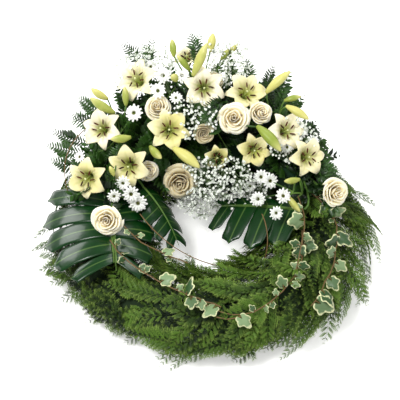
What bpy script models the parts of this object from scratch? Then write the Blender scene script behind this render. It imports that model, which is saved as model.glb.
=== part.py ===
"""A funeral wreath lying on its back: a straw ring bound with cedar, and a mound of flowers on its far half.

Units are metres and +Z is up. The origin is on the ground under the middle of the wreath's box, and -Y is the
side that faces the mourner. A bearing is an angle round the ring: 0 points to +Y, 90 degrees to +X.
Flowers stand where the photograph shows them: their places are pixels of its 400 by 400 frame, carried along the
line of sight to the mound of flowers or to the cedar.
"""

import math
import random

import bmesh
import bpy
from mathutils import Matrix, Vector
from mathutils.geometry import intersect_line_line

# The straw ring
RING_CENTRE = Vector((0.009, 0.006, 0.0))
RING_RADIUS = 0.250
STRAW_HALF_WIDTH = 0.066
STRAW_HEIGHT = 0.096
STRAW_FLAT = 0.046
STRAW_SEGMENTS = 24

# The surface that the cedar is laid on: an oval round the straw
BED_HALF_WIDTH = 0.098
BED_MIDDLE = 0.045
BED_RISE = 0.056

# The photograph's view: tilt above the ground, distance, size of a pixel at the target, and the target itself
VIEW_TILT = math.radians(47.0)
VIEW_DISTANCE = 3.2
PIXEL = 0.0024
PHOTO_MIDDLE = 200.0
VIEW_TARGET = RING_CENTRE + Vector((-0.017, 0.105, 0.060))

# The mound of flowers: its spine follows the ring above the foam, between two bearings
SPINE_HEIGHT = 0.125
SPINE_END = math.radians(80.0)
MOUND_LOW = 0.085
MOUND_SWELL = 0.135

# Foam bricks on the ring
FOAM_BEARINGS = (-50.0, 0.0, 50.0)
FOAM_NAMES = ("left", "middle", "right")
FOAM_SIZE = Vector((0.176, 0.088, 0.075))
FOAM_RADIUS = 0.244
STEM_SINK = 0.024
HOLE_SPARE = 0.0005
REST_GAP = 0.0004
STEM_BEND = 0.016
STEM_STEP = 0.004

# Cedar: bunches are bound on one after the other, and the tips of each lie over the stems of the next
BUNCH_STEP = 24.0
FIRST_BUNCH = 78.0
FULL_BUNCHES = 8
FROND_SWEEP = math.radians(38.0)
FROND_BARE = 0.15
FROND_CORE = 0.011
CEDAR_THICKNESS = 0.0010
TIE_HALF_WIDTH = math.radians(5.0)
# Bunches under the big leaf are pressed down to a share of their rise
PRESSED = {5: 0.55, 6: 0.42, 7: 0.40, 8: 0.45}

# Broad leaves behind the flowers, at each brick; the lowest stays above the cedar
BACK_LEAVES = 11
BACK_LEAF_LENGTH = 0.105
BACK_LEAF_WIDTH = 0.022
BACK_LEAF_LOW = 0.135

SEED = 20

random.seed(SEED)


def material(name, colour, roughness):
    """A plain painted finish for one kind of piece."""
    made = bpy.data.materials.new(name)
    made.use_nodes = True
    shader = made.node_tree.nodes["Principled BSDF"]
    shader.inputs["Base Color"].default_value = (*colour, 1.0)
    shader.inputs["Roughness"].default_value = roughness
    shader.inputs["Metallic"].default_value = 0.0
    return made


# Closed shells: each is (points, triangles)


def thicken(points, triangles, thickness):
    """A closed blade from an open sheet of triangles, cut alike on both faces."""
    normals = [Vector() for _ in points]
    for a, b, c in triangles:
        normal = (points[b] - points[a]).cross(points[c] - points[a])
        for corner in (a, b, c):
            normals[corner] += normal
    shifts = [normal.normalized() * thickness / 2 for normal in normals]
    count = len(points)
    upper = [point + shift for point, shift in zip(points, shifts)]
    lower = [point - shift for point, shift in zip(points, shifts)]
    faces = list(triangles)
    faces += [(c + count, b + count, a + count) for a, b, c in triangles]
    edges = {edge for a, b, c in triangles for edge in ((a, b), (b, c), (c, a))}
    for a, b in sorted(edges):
        if (b, a) not in edges:
            faces += [(b, a, a + count), (b, a + count, b + count)]
    return upper + lower, faces


def tube(path, radii, sides):
    """A closed tube along a path. A radius of zero draws that end to a point."""
    points, rings = [], []
    side = (path[1] - path[0]).orthogonal().normalized()
    for i, (centre, radius) in enumerate(zip(path, radii)):
        ahead = (path[min(i + 1, len(path) - 1)] - path[max(i - 1, 0)]).normalized()
        side = (side - ahead * side.dot(ahead)).normalized()
        other = ahead.cross(side)
        if radius == 0:
            rings.append([len(points)])
            points.append(centre.copy())
            continue
        rings.append(list(range(len(points), len(points) + sides)))
        for k in range(sides):
            turn = 2 * math.pi * k / sides
            points.append(centre + side * radius * math.cos(turn) + other * radius * math.sin(turn))
    faces = []
    for low, high in zip(rings, rings[1:]):
        for k in range(sides):
            a, b = low[k % len(low)], low[(k + 1) % len(low)]
            c, d = high[k % len(high)], high[(k + 1) % len(high)]
            if a != b:
                faces.append((a, b, d))
            if c != d:
                faces.append((a, d, c))
    for ring, turned in ((rings[0], True), (rings[-1], False)):
        for k in range(1, len(ring) - 1):
            fan = (ring[0], ring[k], ring[k + 1])
            faces.append(fan[::-1] if turned else fan)
    return points, faces


def placed(shell, place):
    """The shell moved by a matrix."""
    points, faces = shell
    return [place @ point for point in points], faces


def mesh_object(name, shell, finish):
    """An object of one shell."""
    points, faces = shell
    mesh = bpy.data.meshes.new(name)
    mesh.from_pydata([tuple(point) for point in points], [], faces)
    mesh.update()
    if finish:
        mesh.materials.append(finish)
    return bpy.data.objects.new(name, mesh)


def boolean(node, others, operation):
    """Applies one Boolean of a node with other shells, which are then removed."""
    helpers = bpy.data.collections.new(node.name + "_helpers")
    bpy.context.scene.collection.children.link(helpers)
    for shell in others:
        helpers.objects.link(mesh_object("helper", shell, None))
    step = node.modifiers.new("join", "BOOLEAN")
    step.operand_type = "COLLECTION"
    step.collection = helpers
    step.operation = operation
    step.solver = "MANIFOLD"
    graph = bpy.context.evaluated_depsgraph_get()
    mesh = bpy.data.meshes.new_from_object(node.evaluated_get(graph))
    node.modifiers.clear()
    node.data = mesh
    for helper in list(helpers.objects):
        bpy.data.objects.remove(helper)
    bpy.data.collections.remove(helpers)


def drop_scraps(mesh):
    """Removes the loose slivers that a Boolean leaves beside the body."""
    shape = bmesh.new()
    shape.from_mesh(mesh)
    left = set(shape.faces)
    bodies = []
    while left:
        body, edge = set(), [left.pop()]
        while edge:
            face = edge.pop()
            body.add(face)
            near = {other for side in face.edges for other in side.link_faces} & left
            left -= near
            edge += near
        bodies.append(body)
    largest = max(bodies, key=len)
    scraps = [face for body in bodies if body is not largest for face in body]
    bmesh.ops.delete(shape, geom=scraps, context="FACES")
    shape.to_mesh(mesh)
    shape.free()


def fuse(name, shells, finish):
    """One closed body from shells that overlap, as one object."""
    node = mesh_object(name, shells[0], finish)
    bpy.context.scene.collection.objects.link(node)
    if len(shells) > 1:
        boolean(node, shells[1:], "UNION")
        drop_scraps(node.data)
    return node


# Places: rays of the photograph, the mound, the ring and the foam


def ring_point(bearing, outward, height):
    """The point at a bearing, so far outside the ring's centre circle, at a height."""
    radius = RING_RADIUS + outward
    return RING_CENTRE + Vector((radius * math.sin(bearing), radius * math.cos(bearing), height))


def bed_point(bearing, section, lift):
    """A point over the cedar's bed. Section 0 is the hole's side, a quarter turn the top, a half the outside."""
    outward = -(BED_HALF_WIDTH + lift) * math.cos(section)
    height = BED_MIDDLE + (BED_RISE + lift) * math.sin(section)
    return ring_point(bearing, outward, height)


def bearing_of(point):
    """The bearing of a point round the ring's centre."""
    return math.atan2(point.x - RING_CENTRE.x, point.y - RING_CENTRE.y)


def over_mound(point):
    """How far a point is outside the mound of flowers."""
    bearing = max(-SPINE_END, min(SPINE_END, bearing_of(point)))
    spine = ring_point(bearing, 0.0, SPINE_HEIGHT)
    return (point - spine).length - MOUND_LOW - MOUND_SWELL * math.cos(bearing) ** 1.5


def over_cedar(point):
    """How far a point is over the bed of the cedar, measured at its top."""
    outward = math.hypot(point.x - RING_CENTRE.x, point.y - RING_CENTRE.y) - RING_RADIUS
    share = math.hypot(outward / BED_HALF_WIDTH, (point.z - BED_MIDDLE) / BED_RISE)
    return (share - 1) * BED_RISE


RIGHT = Vector((1.0, 0.0, 0.0))
UP = Vector((0.0, math.sin(VIEW_TILT), math.cos(VIEW_TILT)))
TOWARDS = Vector((0.0, -math.cos(VIEW_TILT), math.sin(VIEW_TILT)))
EYE = VIEW_TARGET + TOWARDS * VIEW_DISTANCE


def sight(x, y):
    """The direction in which the photograph's pixel is seen."""
    across = (x - PHOTO_MIDDLE) * PIXEL / VIEW_DISTANCE
    rise = (PHOTO_MIDDLE - y) * PIXEL / VIEW_DISTANCE
    return (RIGHT * across + UP * rise - TOWARDS).normalized()


def seen(x, y, distance_over, lift):
    """The first point on a pixel's line of sight that is so far over a surface, or else the nearest to it."""
    line = sight(x, y)
    reach = VIEW_DISTANCE - 0.6
    best, best_gap = None, math.inf
    while reach < VIEW_DISTANCE + 0.5:
        point = EYE + line * reach
        gap = distance_over(point) - lift
        if gap < 0.0002:
            return point
        if gap < best_gap:
            best, best_gap = point, gap
        reach += max(gap * 0.7, 0.0005)
    return best


def height_at(x, y, height):
    """The point at a height that a pixel shows."""
    line = sight(x, y)
    return EYE + line * ((height - EYE.z) / line.z)


def shown_step(x, y, tip_x, tip_y, towards):
    """The step from one pixel to another, leaning towards the viewer by a share of its length."""
    across = RIGHT * (tip_x - x) * PIXEL + UP * (y - tip_y) * PIXEL
    return across + TOWARDS * towards * across.length


def facing(right, up):
    """A direction given by how far it leans to the photograph's right and top; the rest faces the viewer."""
    towards = math.sqrt(max(0.0, 1.0 - right * right - up * up))
    return (RIGHT * right + UP * up + TOWARDS * towards).normalized()


def stand(base, forward, roll=0.0):
    """The matrix that carries +Z to a direction, from a base point."""
    turn = forward.to_track_quat("Z", "Y").to_matrix().to_4x4()
    return Matrix.Translation(base) @ turn @ Matrix.Rotation(roll, 4, "Z")


def foam_place(bearing):
    """A brick's frame: X along the ring, Y outwards, Z up from its underside."""
    centre = RING_CENTRE + Vector((FOAM_RADIUS * math.sin(bearing), FOAM_RADIUS * math.cos(bearing), 0.0))
    centre.z = STRAW_HEIGHT + REST_GAP
    return Matrix.Translation(centre) @ Matrix.Rotation(-bearing, 4, "Z")


FOAM_PLACES = [foam_place(math.radians(bearing)) for bearing in FOAM_BEARINGS]
STEM_ENDS = [[] for _ in FOAM_PLACES]


def root_of(point, shift=(0.0, 0.0)):
    """The brick that a stem goes into and the point where it ends: stems fan out of the foam."""
    turns = [abs(bearing_of(point) - math.radians(bearing)) for bearing in FOAM_BEARINGS]
    brick = turns.index(min(turns))
    place = FOAM_PLACES[brick]
    local = place.inverted() @ point
    half_length = FOAM_SIZE.x / 2 - 0.012
    half_width = FOAM_SIZE.y / 2 - 0.012
    end = Vector((0.0, 0.0, FOAM_SIZE.z - STEM_SINK))
    end.x = half_length * math.tanh(0.62 * local.x / half_length) + shift[0]
    end.y = half_width * math.tanh(0.40 * local.y / half_width) + shift[1]
    end.x = max(-half_length - 0.004, min(half_length + 0.004, end.x))
    end.y = max(-half_width - 0.004, min(half_width + 0.004, end.y))
    return brick, place @ end


# What stands in the way of the small greens and of the gypsophila: (start, end, radius)
TAKEN = []


def room(start, end, own=()):
    """How far a straight twig keeps from every flower and stem but its own."""
    gaps = [gap_between(start, end, low, high) - other
            for low, high, other in TAKEN if low not in own and high not in own]
    return min(gaps, default=math.inf)


def is_free(start, end, radius, own=()):
    """Whether a straight twig of a radius keeps clear of everything but its own."""
    return room(start, end, own) > radius + 0.0012


def gap_between(a, b, c, d):
    """The distance between two straight pieces."""
    nearest = min(point_gap(a, c, d), point_gap(b, c, d), point_gap(c, a, b), point_gap(d, a, b))
    crossing = intersect_line_line(a, b, c, d)
    if crossing:
        on_first, on_second = crossing
        if within(on_first, a, b) and within(on_second, c, d):
            nearest = min(nearest, (on_first - on_second).length)
    return nearest


def within(point, start, end):
    """Whether a point of a line lies between two of its points."""
    line = end - start
    share = (point - start).dot(line) / max(line.length_squared, 1e-12)
    return 0.0 <= share <= 1.0


def point_gap(point, start, end):
    """The distance from a point to a straight piece."""
    line = end - start
    share = (point - start).dot(line) / max(line.length_squared, 1e-12)
    return (point - start - line * max(0.0, min(1.0, share))).length


def take(*pieces):
    """Marks straight pieces as taken."""
    TAKEN.extend(pieces)


def main_stem(middle, rise, radius, shift=(0.0, 0.0)):
    """A stem in the foam under a group of heads, beside those already there: its fork, root and shell."""
    for k in range(60):
        aside = STEM_STEP * math.sqrt(k)
        turn = 2.4 * k
        spot = (shift[0] + 1.6 * aside * math.cos(turn), shift[1] + aside * math.sin(turn))
        brick, root = root_of(middle, spot)
        fork = root.lerp(middle, rise)
        if is_free(fork, root, radius):
            break
    STEM_ENDS[brick].append((fork, root, radius))
    take((fork, root, radius))
    top = fork + (fork - root).normalized() * radius * 1.5
    return fork, root, tube([top, root], [radius, radius], 4)


def average(points):
    """The middle of some points."""
    return sum(points, Vector()) / len(points)


# The straw ring and the foam


def straw_ring(finish):
    """The bound straw ring, with the flat underside that the wreath lies on."""
    profile = [(-STRAW_FLAT, 0.0), (STRAW_FLAT, 0.0)]
    middle = STRAW_HEIGHT * 0.42
    for turn in (0.0, 38.0, 90.0, 142.0, 180.0):
        angle = math.radians(turn)
        rise = (STRAW_HEIGHT - middle) * math.sin(angle)
        profile.append((STRAW_HALF_WIDTH * math.cos(angle), middle + rise))
    points, faces = [], []
    count = len(profile)
    for k in range(STRAW_SEGMENTS):
        bearing = -2 * math.pi * k / STRAW_SEGMENTS
        points += [ring_point(bearing, outward, height) for outward, height in profile]
    for k in range(STRAW_SEGMENTS):
        here, there = k * count, (k + 1) % STRAW_SEGMENTS * count
        for i in range(count):
            a, b = here + i, here + (i + 1) % count
            c, d = there + i, there + (i + 1) % count
            faces += [(a, c, d), (a, d, b)]
    return fuse("straw_ring", [(points, faces)], finish)


def box(size):
    """A box on the ground plane, centred over the origin."""
    x, y, z = size.x / 2, size.y / 2, size.z
    points = [Vector((i, j, k)) for k in (0.0, z) for i, j in ((-x, -y), (x, -y), (x, y), (-x, y))]
    faces = [(0, 2, 1), (0, 3, 2), (4, 5, 6), (4, 6, 7)]
    for k in range(4):
        n = (k + 1) % 4
        faces += [(k, n, n + 4), (k, n + 4, k + 4)]
    return points, faces


def foam_bricks(finish):
    """The foam, with a plain hole for each stem that stands in it."""
    for name, place, ends in zip(FOAM_NAMES, FOAM_PLACES, STEM_ENDS):
        brick = fuse("foam_brick_" + name, [placed(box(FOAM_SIZE), place)], finish)
        holes = []
        for knee, end, radius in ends:
            deeper = end + (end - knee).normalized() * HOLE_SPARE * 2
            holes.append(tube([knee, deeper], [radius * math.sqrt(2) + HOLE_SPARE] * 2, 4))
        boolean(brick, holes, "DIFFERENCE")


# Cedar


def spray_of_cedar(root, rows, leaflets, tie_section):
    """Flat cedar fronds from one tie, lying over the bed, as one sheet cut into leaflets."""
    points, triangles = [], []

    def add(point):
        points.append(point)
        return len(points) - 1

    tie = math.radians(tie_section)
    width = 2 * TIE_HALF_WIDTH * len(rows)
    seams = [tie - width / 2 + width * k / len(rows) for k in range(len(rows) + 1)]
    back = [add(bed_point(root - 0.045, seam, -0.0005)) for seam in seams]
    front = [add(bed_point(root + 0.010, seam, 0.0)) for seam in seams]
    for k, (section, drift, low, rise, reach_most) in enumerate(rows):
        triangles += [(back[k], front[k], front[k + 1]), (back[k], front[k + 1], back[k + 1])]
        start = (seams[k] + seams[k + 1]) / 2

        def at(t, side):
            settle = min(1.0, t / (FROND_BARE + 0.04))
            settle = settle * settle * (3 - 2 * settle)
            lie = start + (math.radians(section) - start) * settle + math.radians(drift) * t * t
            lift = low * settle + rise * t * (0.55 + 0.45 * t)
            return add(bed_point(root + FROND_SWEEP * t, lie + side / (BED_HALF_WIDTH + lift), lift))

        left, right = front[k], front[k + 1]
        stops = [FROND_BARE + (1 - FROND_BARE) * 0.84 * i / leaflets for i in range(leaflets + 1)]
        for i, t in enumerate(stops):
            core = FROND_CORE * (0.45 if i == 0 else 1.0 - 0.5 * i / leaflets)
            new_left, new_right = at(t, -core), at(t, core)
            triangles += [(left, new_left, new_right), (left, new_right, right)]
            if i > 0:
                middle = (i - 0.5) / leaflets
                reach = reach_most * math.sin(math.pi * (0.24 + 0.60 * middle)) ** 0.8
                ahead = t + 0.08 * (1 - 0.3 * middle)
                triangles += [(left, at(ahead, -reach), new_left), (right, new_right, at(ahead, reach))]
            left, right = new_left, new_right
        triangles.append((left, at(1.0, 0.0), right))
    return thicken(points, triangles, CEDAR_THICKNESS)


def bound_stem(start, end, section):
    """A stem from the tie of one spray to the tie of the next."""
    ties = (start + 0.004, end - 0.040)
    path = [bed_point(bearing, math.radians(section), 0.0) for bearing in ties]
    return tube(path, [0.0022] * 2, 3)


def cedar_garland(start, end, section, lift, reach, leaflets):
    """One long frond laid along the ring, cut into leaflets."""
    points, triangles = [], []

    def at(k, side):
        bearing = start + (end - start) * k / leaflets
        points.append(bed_point(bearing, section + side / BED_HALF_WIDTH, lift))
        return len(points) - 1

    left, right = at(0, -FROND_CORE), at(0, FROND_CORE)
    for k in range(leaflets):
        new_left, new_right = at(k + 1, -FROND_CORE), at(k + 1, FROND_CORE)
        triangles += [(left, new_left, new_right), (left, new_right, right)]
        triangles += [(left, at(k + 1.4, -reach), new_left), (right, new_right, at(k + 1.4, reach))]
        left, right = new_left, new_right
    triangles.append((left, at(leaflets + 1.2, 0.0), right))
    return thicken(points, triangles, CEDAR_THICKNESS)


# A row of fronds: section where it lies, drift towards the tip, lift, rise, half width
TOP_ROWS = (
    (26.0, -4.0, 0.003, 0.052, 0.037),
    (68.0, 2.0, 0.007, 0.026, 0.036),
    (114.0, 4.0, 0.003, 0.034, 0.040),
    (150.0, 24.0, 0.008, 0.064, 0.050),
)
# The outermost row where the big leaf lies over it
TUCKED_ROW = (176.0, 14.0, 0.003, 0.062, 0.044)
OUTER_ROWS = (
    (147.0, 6.0, 0.003, 0.024, 0.030),
    (169.0, 12.0, 0.006, 0.036, 0.038),
)
OUTER_TIE = 150.0
# Runs of sprays behind the foam, by their steps
CEDAR_RUNS = {"cedar_outer_left": (8, 9, 10), "cedar_outer_right": (11, 12, 13, 14)}


def pressed(rows, step):
    """Rows with their rise cut where a big leaf lies on them."""
    if step not in PRESSED:
        return list(rows)
    share = PRESSED[step]
    low_rows = [(section, drift, low, rise * share, reach) for section, drift, low, rise, reach in rows[:-1]]
    return low_rows + [TUCKED_ROW]


def step_bearing(step):
    """The bearing of a bunch's tie."""
    return math.radians(FIRST_BUNCH + BUNCH_STEP * step)


def cedar(finish):
    """Bunches of cedar all round the ring; behind the foam they are bound on in longer runs."""
    for k in range(FULL_BUNCHES):
        sheet = spray_of_cedar(step_bearing(k), pressed(TOP_ROWS, k), 3, 90.0)
        fuse(f"cedar_bunch_{k + 1:02d}", [sheet], finish)
    for name, steps in CEDAR_RUNS.items():
        roots = [step_bearing(k) for k in steps]
        shells = [spray_of_cedar(step_bearing(k), pressed(OUTER_ROWS, k), 3, OUTER_TIE) for k in steps]
        shells += [bound_stem(a, b, OUTER_TIE) for a, b in zip(roots, roots[1:])]
        fuse(name, shells, finish)
    garland = cedar_garland(math.radians(-74.0), math.radians(66.0), math.radians(20.0), 0.004, 0.036, 14)
    fuse("cedar_inner", [garland], finish)


# Monstera leaves


def split_leaf(name, base, tip, upward, widths, bends, arch, lobes, shift, finish):
    """A big leaf cut into lobes from its edge towards its midrib, bent down at both sides."""
    length = (tip - base).length
    forward = (tip - base).normalized()
    across = forward.cross(upward).normalized()
    normal = across.cross(forward).normalized()
    points, triangles = [], []

    def at(u, v):
        half = widths[0] if v < 0 else widths[1]
        bend = bends[0] if v < 0 else bends[1]
        turn = abs(v) * bend
        out = math.copysign(half * math.sin(turn) / bend, v)
        down = half * (1 - math.cos(turn)) / bend
        point = base + forward * length * u + across * out - normal * down
        points.append(point + normal * arch * 4 * u * (1 - u))
        return len(points) - 1

    def reach(u):
        return math.sin(math.pi * min(1.0, 0.20 + 0.80 * u)) ** 0.55

    stops = [k / lobes for k in range(lobes)] + [0.93]
    ribs = {side: [at(u, side * 0.03) for u in stops] for side in (-1, 1)}
    for i in range(lobes):
        a, c = ribs[-1][i], ribs[-1][i + 1]
        b, d = ribs[1][i], ribs[1][i + 1]
        triangles += [(a, c, d), (a, d, b)]
    for side in (-1, 1):
        inner = [at(u + 0.02, side * 0.34 * reach(min(u, 0.9))) for u in stops]
        for i in range(lobes):
            middle = (stops[i] + stops[i + 1]) / 2
            lean = 0.05 + 0.07 * middle
            near = at(stops[i] + 0.016 + lean, side * reach(middle) * 0.80)
            far = at(stops[i + 1] - 0.010 + lean, side * reach(middle) * 0.82)
            edge = at(middle + lean * 1.5, side * reach(middle))
            a, c = ribs[side][i], ribs[side][i + 1]
            lobe = [(a, inner[i + 1], c), (a, inner[i], inner[i + 1])]
            lobe += [(inner[i], far, inner[i + 1]), (inner[i], near, far), (near, edge, far)]
            triangles += lobe if side < 0 else [t[::-1] for t in lobe]
    point = at(1.02, 0.0)
    triangles.append((ribs[-1][-1], point, ribs[1][-1]))
    blade = thicken(points, triangles, 0.0014)
    brick, root = root_of(base, shift)
    STEM_ENDS[brick].append((base, root, 0.0028))
    take((base, root, 0.0028))
    stalk = tube([base + forward * 0.02, base, root], [0.0022, 0.0028, 0.0028], 4)
    return fuse(name, [blade, stalk], finish)


# Flowers


def stem_to_foam(base, forward, radius, shift=(0.0, 0.0)):
    """The bend and the foot of a cut stem in the foam, which gets a hole for it."""
    knee = base - forward * STEM_BEND
    brick, end = root_of(knee, shift)
    STEM_ENDS[brick].append((knee, end, radius))
    take((base, knee, radius), (knee, end, radius))
    return knee, end


def lily_blades(opening, size):
    """The six joined tepals of a lily, which part and curl back, open side to +Z."""
    points, triangles = [Vector((0.0, 0.0, 0.0))], []
    flare = 0.72 + 0.42 * opening

    def ring(turn, radius, height):
        points.append(Vector((radius * math.cos(turn), radius * math.sin(turn), height)) * size)
        return len(points) - 1

    step = math.pi / 3
    middles = [ring(step * k, 0.0165 * flare, 0.034) for k in range(6)]
    joins = [ring(step * (k + 0.5), 0.0150 * flare, 0.033) for k in range(6)]
    for k in range(6):
        triangles += [(0, middles[k], joins[k]), (0, joins[k], middles[(k + 1) % 6])]
        inner = k % 2 == 0
        half = 0.35 if inner else 0.27
        drop = 0.0 if inner else 0.004
        turn = step * k
        left = ring(turn - half, 0.037 * flare, 0.054 - drop)
        right = ring(turn + half, 0.037 * flare, 0.054 - drop)
        tip = ring(turn, 0.056 * flare, 0.055 - drop - 0.012 * opening)
        triangles += [(joins[k - 1], left, middles[k]), (middles[k], right, joins[k])]
        triangles += [(middles[k], left, tip), (middles[k], tip, right)]
    return thicken(points, [t[::-1] for t in triangles], 0.0012)


def lily(finish, name, x, y, lift, right, up, opening, size, shift=(0.0, 0.0)):
    """A lily whose mouth the photograph shows at a pixel, with its stamens, its pistil and its stem."""
    forward = facing(right, up)
    mouth = seen(x, y, over_mound, lift)
    base = mouth - forward * 0.045 * size
    place = stand(base, forward, roll=0.4 + 1.7 * x)
    flare = 0.72 + 0.42 * opening
    shells = [placed(lily_blades(opening, size), place)]
    for k in range(6):
        turn = math.pi / 3 * (k + 0.5)
        out = Vector((math.cos(turn), math.sin(turn), 0.0))
        foot = Vector((0.0, 0.0, 0.006 + 0.003 * k))
        anther = out * 0.0135 * flare + Vector((0.0, 0.0, 0.047))
        point = anther + out * 0.003 + Vector((0.0, 0.0, 0.007))
        path = [place @ (spot * size) for spot in (foot, anther, point)]
        shells.append(tube(path, [0.0007, 0.0021, 0.0], 3))
    knee, end = stem_to_foam(base, forward, 0.0026, shift)
    axis = [base + forward * rise * size for rise in (0.055, 0.047, 0.0)]
    shells.append(tube(axis + [knee, end], [0.0030, 0.0012, 0.0024, 0.0026, 0.0024], 3))
    take((base, mouth, 0.022 * size), (mouth, mouth + forward * 0.006, 0.050 * size))
    return fuse(name, shells, finish)


def petal_cup(count, first_turn, radius, low, high, flare, size):
    """A whorl of cupped rose petals joined at their feet, parted by slits, one side of each tucked in."""
    points, triangles = [], []
    half = math.pi / count

    def add(turn, out, height):
        points.append(Vector((out * math.cos(turn), out * math.sin(turn), height)) * size)
        return len(points) - 1

    centre = add(0.0, 0.0, low)
    turns = [first_turn + 2 * half * k for k in range(count)]
    joins = [add(turn - half, radius * 0.62, low + 0.006) for turn in turns]
    belly = low + (high - low) * 0.55
    for k, turn in enumerate(turns):
        a, b = joins[k], joins[(k + 1) % count]
        left = add(turn - half * 0.90, radius * 0.95, belly)
        right = add(turn + half * 0.90, radius * 1.07, belly)
        rim_left = add(turn - half * 0.80, radius * 0.93 * flare, high - 0.004)
        rim_right = add(turn + half * 0.80, radius * 1.07 * flare, high - 0.003)
        rim = add(turn, radius * 1.05 * flare, high)
        triangles += [(centre, a, b), (a, right, b), (a, left, right)]
        triangles += [(left, rim, right), (left, rim_left, rim), (right, rim, rim_right)]
    return thicken(points, [t[::-1] for t in triangles], 0.0011)


def rose_shells(opening, size):
    """A rose: a rolled heart inside two whorls of cupped petals, open side to +Z."""
    heart = [Vector((0.0, 0.0, z * size)) for z in (-0.006, 0.022, 0.041)]
    shells = [tube(heart, [r * size for r in (0.006, 0.0120, 0.0080)], 5)]
    shells.append(petal_cup(4, 0.0, 0.0205, 0.004, 0.044, 0.90, size))
    shells.append(petal_cup(5, 0.5, 0.0310, -0.003, 0.037, 1.06 + 0.16 * opening, size))
    return shells


def rose(finish, name, x, y, lift, right, up, opening, size, shift=(0.0, 0.0)):
    """A rose whose face the photograph shows at a pixel."""
    forward = facing(right, up)
    face = seen(x, y, over_mound, lift)
    base = face - forward * 0.030 * size
    place = stand(base, forward, roll=0.9 * x)
    shells = [placed(shell, place) for shell in rose_shells(opening, size)]
    knee, end = stem_to_foam(base - forward * 0.004, forward, 0.0030, shift)
    shells.append(tube([base, knee, end], [0.0030, 0.0030, 0.0028], 4))
    take((base, base + forward * 0.034 * size, 0.040 * size))
    return fuse(name, shells, finish)


def bud_stem(name, buds, finish, shift=(0.0, 0.0)):
    """Lily buds that stand on one stem: each from a base pixel to a tip pixel."""
    heads = []
    for x, y, tip_x, tip_y, lift, towards, radius in buds:
        base = seen(x, y, over_mound, lift)
        heads.append((base, base + shown_step(x, y, tip_x, tip_y, towards), radius))
    middle = average([base for base, _, _ in heads])
    fork, root, stem = main_stem(middle, 0.5, 0.0028, shift)
    shells = [stem]
    for k, (base, tip, radius) in enumerate(heads):
        path = [base.lerp(tip, stop) for stop in (0.0, 0.42, 0.80, 1.0)]
        shells.append(tube(path, [radius * 0.4, radius, radius * 0.66, 0.0], 5))
        foot = fork.lerp(root, 0.05 * k)
        shells.append(tube([base.lerp(tip, 0.12), foot], [0.0016, 0.0016], 3))
        take((base, tip, radius), (base, foot, 0.0018))
    return fuse(name, shells, finish)


def daisy_head(size, petals=7):
    """A daisy head: a domed eye and pointed ray petals, open side to +Z."""
    points, triangles = [Vector((0.0, 0.0, 0.0035)) * size], []
    for k in range(petals):
        turn = 2 * math.pi * k / petals
        points.append(Vector((0.0080 * math.cos(turn), 0.0080 * math.sin(turn), 0.0005)) * size)
    for k in range(petals):
        turn = 2 * math.pi * (k + 0.5) / petals
        points.append(Vector((0.0205 * math.cos(turn), 0.0205 * math.sin(turn), 0.0025)) * size)
        a, b, tip = 1 + k, 1 + (k + 1) % petals, 1 + petals + k
        triangles += [(0, a, b), (a, tip, b)]
    return thicken(points, triangles, 0.0014)


def daisy_spray(name, heads, finish, shift=(0.0, 0.0)):
    """Chrysanthemum heads that branch from one stem."""
    centres = [seen(x, y, over_mound, lift) for x, y, lift, *_ in heads]
    fork, root, stem = main_stem(average(centres), 0.5, 0.0024, shift)
    shells = [stem]
    for k, (centre, (_, _, _, right, up, size)) in enumerate(zip(centres, heads)):
        forward = facing(right, up)
        place = stand(centre, forward, roll=centre.x * 90)
        shells.append(placed(daisy_head(size), place))
        neck = centre - forward * 0.016
        foot = fork.lerp(root, 0.05 * k)
        shells.append(tube([centre + forward * 0.0034 * size, neck, foot], [0.0024, 0.0013, 0.0014], 3))
        take((centre, centre + forward * 0.002, 0.021 * size), (neck, foot, 0.0016))
    return fuse(name, shells, finish)


# Gypsophila and small greens fill the room that is left


def gypsophila(name, cloud, count, finish):
    """A cloud of small white florets on hair-thin branches from one stem."""
    x, y, lift, spread_x, spread_y = cloud
    centre = seen(x, y, over_mound, lift)
    hub, root, stem = main_stem(centre, 0.6, 0.0018)
    shells, florets = [stem], []
    for _ in range(3000):
        if len(florets) == count:
            break
        turn = random.uniform(0, 2 * math.pi)
        share = random.uniform(0.15, 1.0) ** 0.6
        point = centre + RIGHT * spread_x * share * math.cos(turn) + UP * spread_y * share * math.sin(turn)
        point += TOWARDS * random.uniform(-0.018, 0.018)
        foot = hub.lerp(root, 0.02 * len(florets))
        crowded = any((point - other).length < 0.012 for other in florets)
        if crowded or not is_free(foot, point, 0.0012, (root,)) or not is_free(point, point, 0.0044):
            continue
        florets.append(point)
        along = (point - foot).normalized()
        path = [foot, point - along * 0.005, point, point + along * 0.004]
        shells.append(tube(path, [0.0009, 0.0007, 0.0044, 0.0], 3))
    for k, point in enumerate(florets):
        take((hub.lerp(root, 0.02 * k), point, 0.001), (point, point, 0.0044))
    return fuse(name, shells, finish)


def cut_leaf(foot, tip, normal, width, leaflets):
    """A flat leaf cut into leaflets to its rib."""
    side = (tip - foot).cross(normal).normalized()
    points, triangles = [], []

    def at(t, out):
        points.append(foot.lerp(tip, t) + side * out)
        return len(points) - 1

    left, right = at(0.0, -0.0007), at(0.0, 0.0007)
    for i in range(leaflets):
        t = 0.86 * (i + 1) / leaflets
        new_left, new_right = at(t, -0.0007), at(t, 0.0007)
        reach = width * math.sin(math.pi * (0.25 + 0.55 * (i + 0.5) / leaflets))
        far = t + 0.30 / leaflets
        triangles += [(left, new_left, new_right), (left, new_right, right)]
        triangles += [(left, at(far, -reach), new_left), (right, new_right, at(far, reach))]
        left, right = new_left, new_right
    triangles.append((left, at(1.0, 0.0), right))
    return thicken(points, [t[::-1] for t in triangles], 0.0008)


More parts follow.
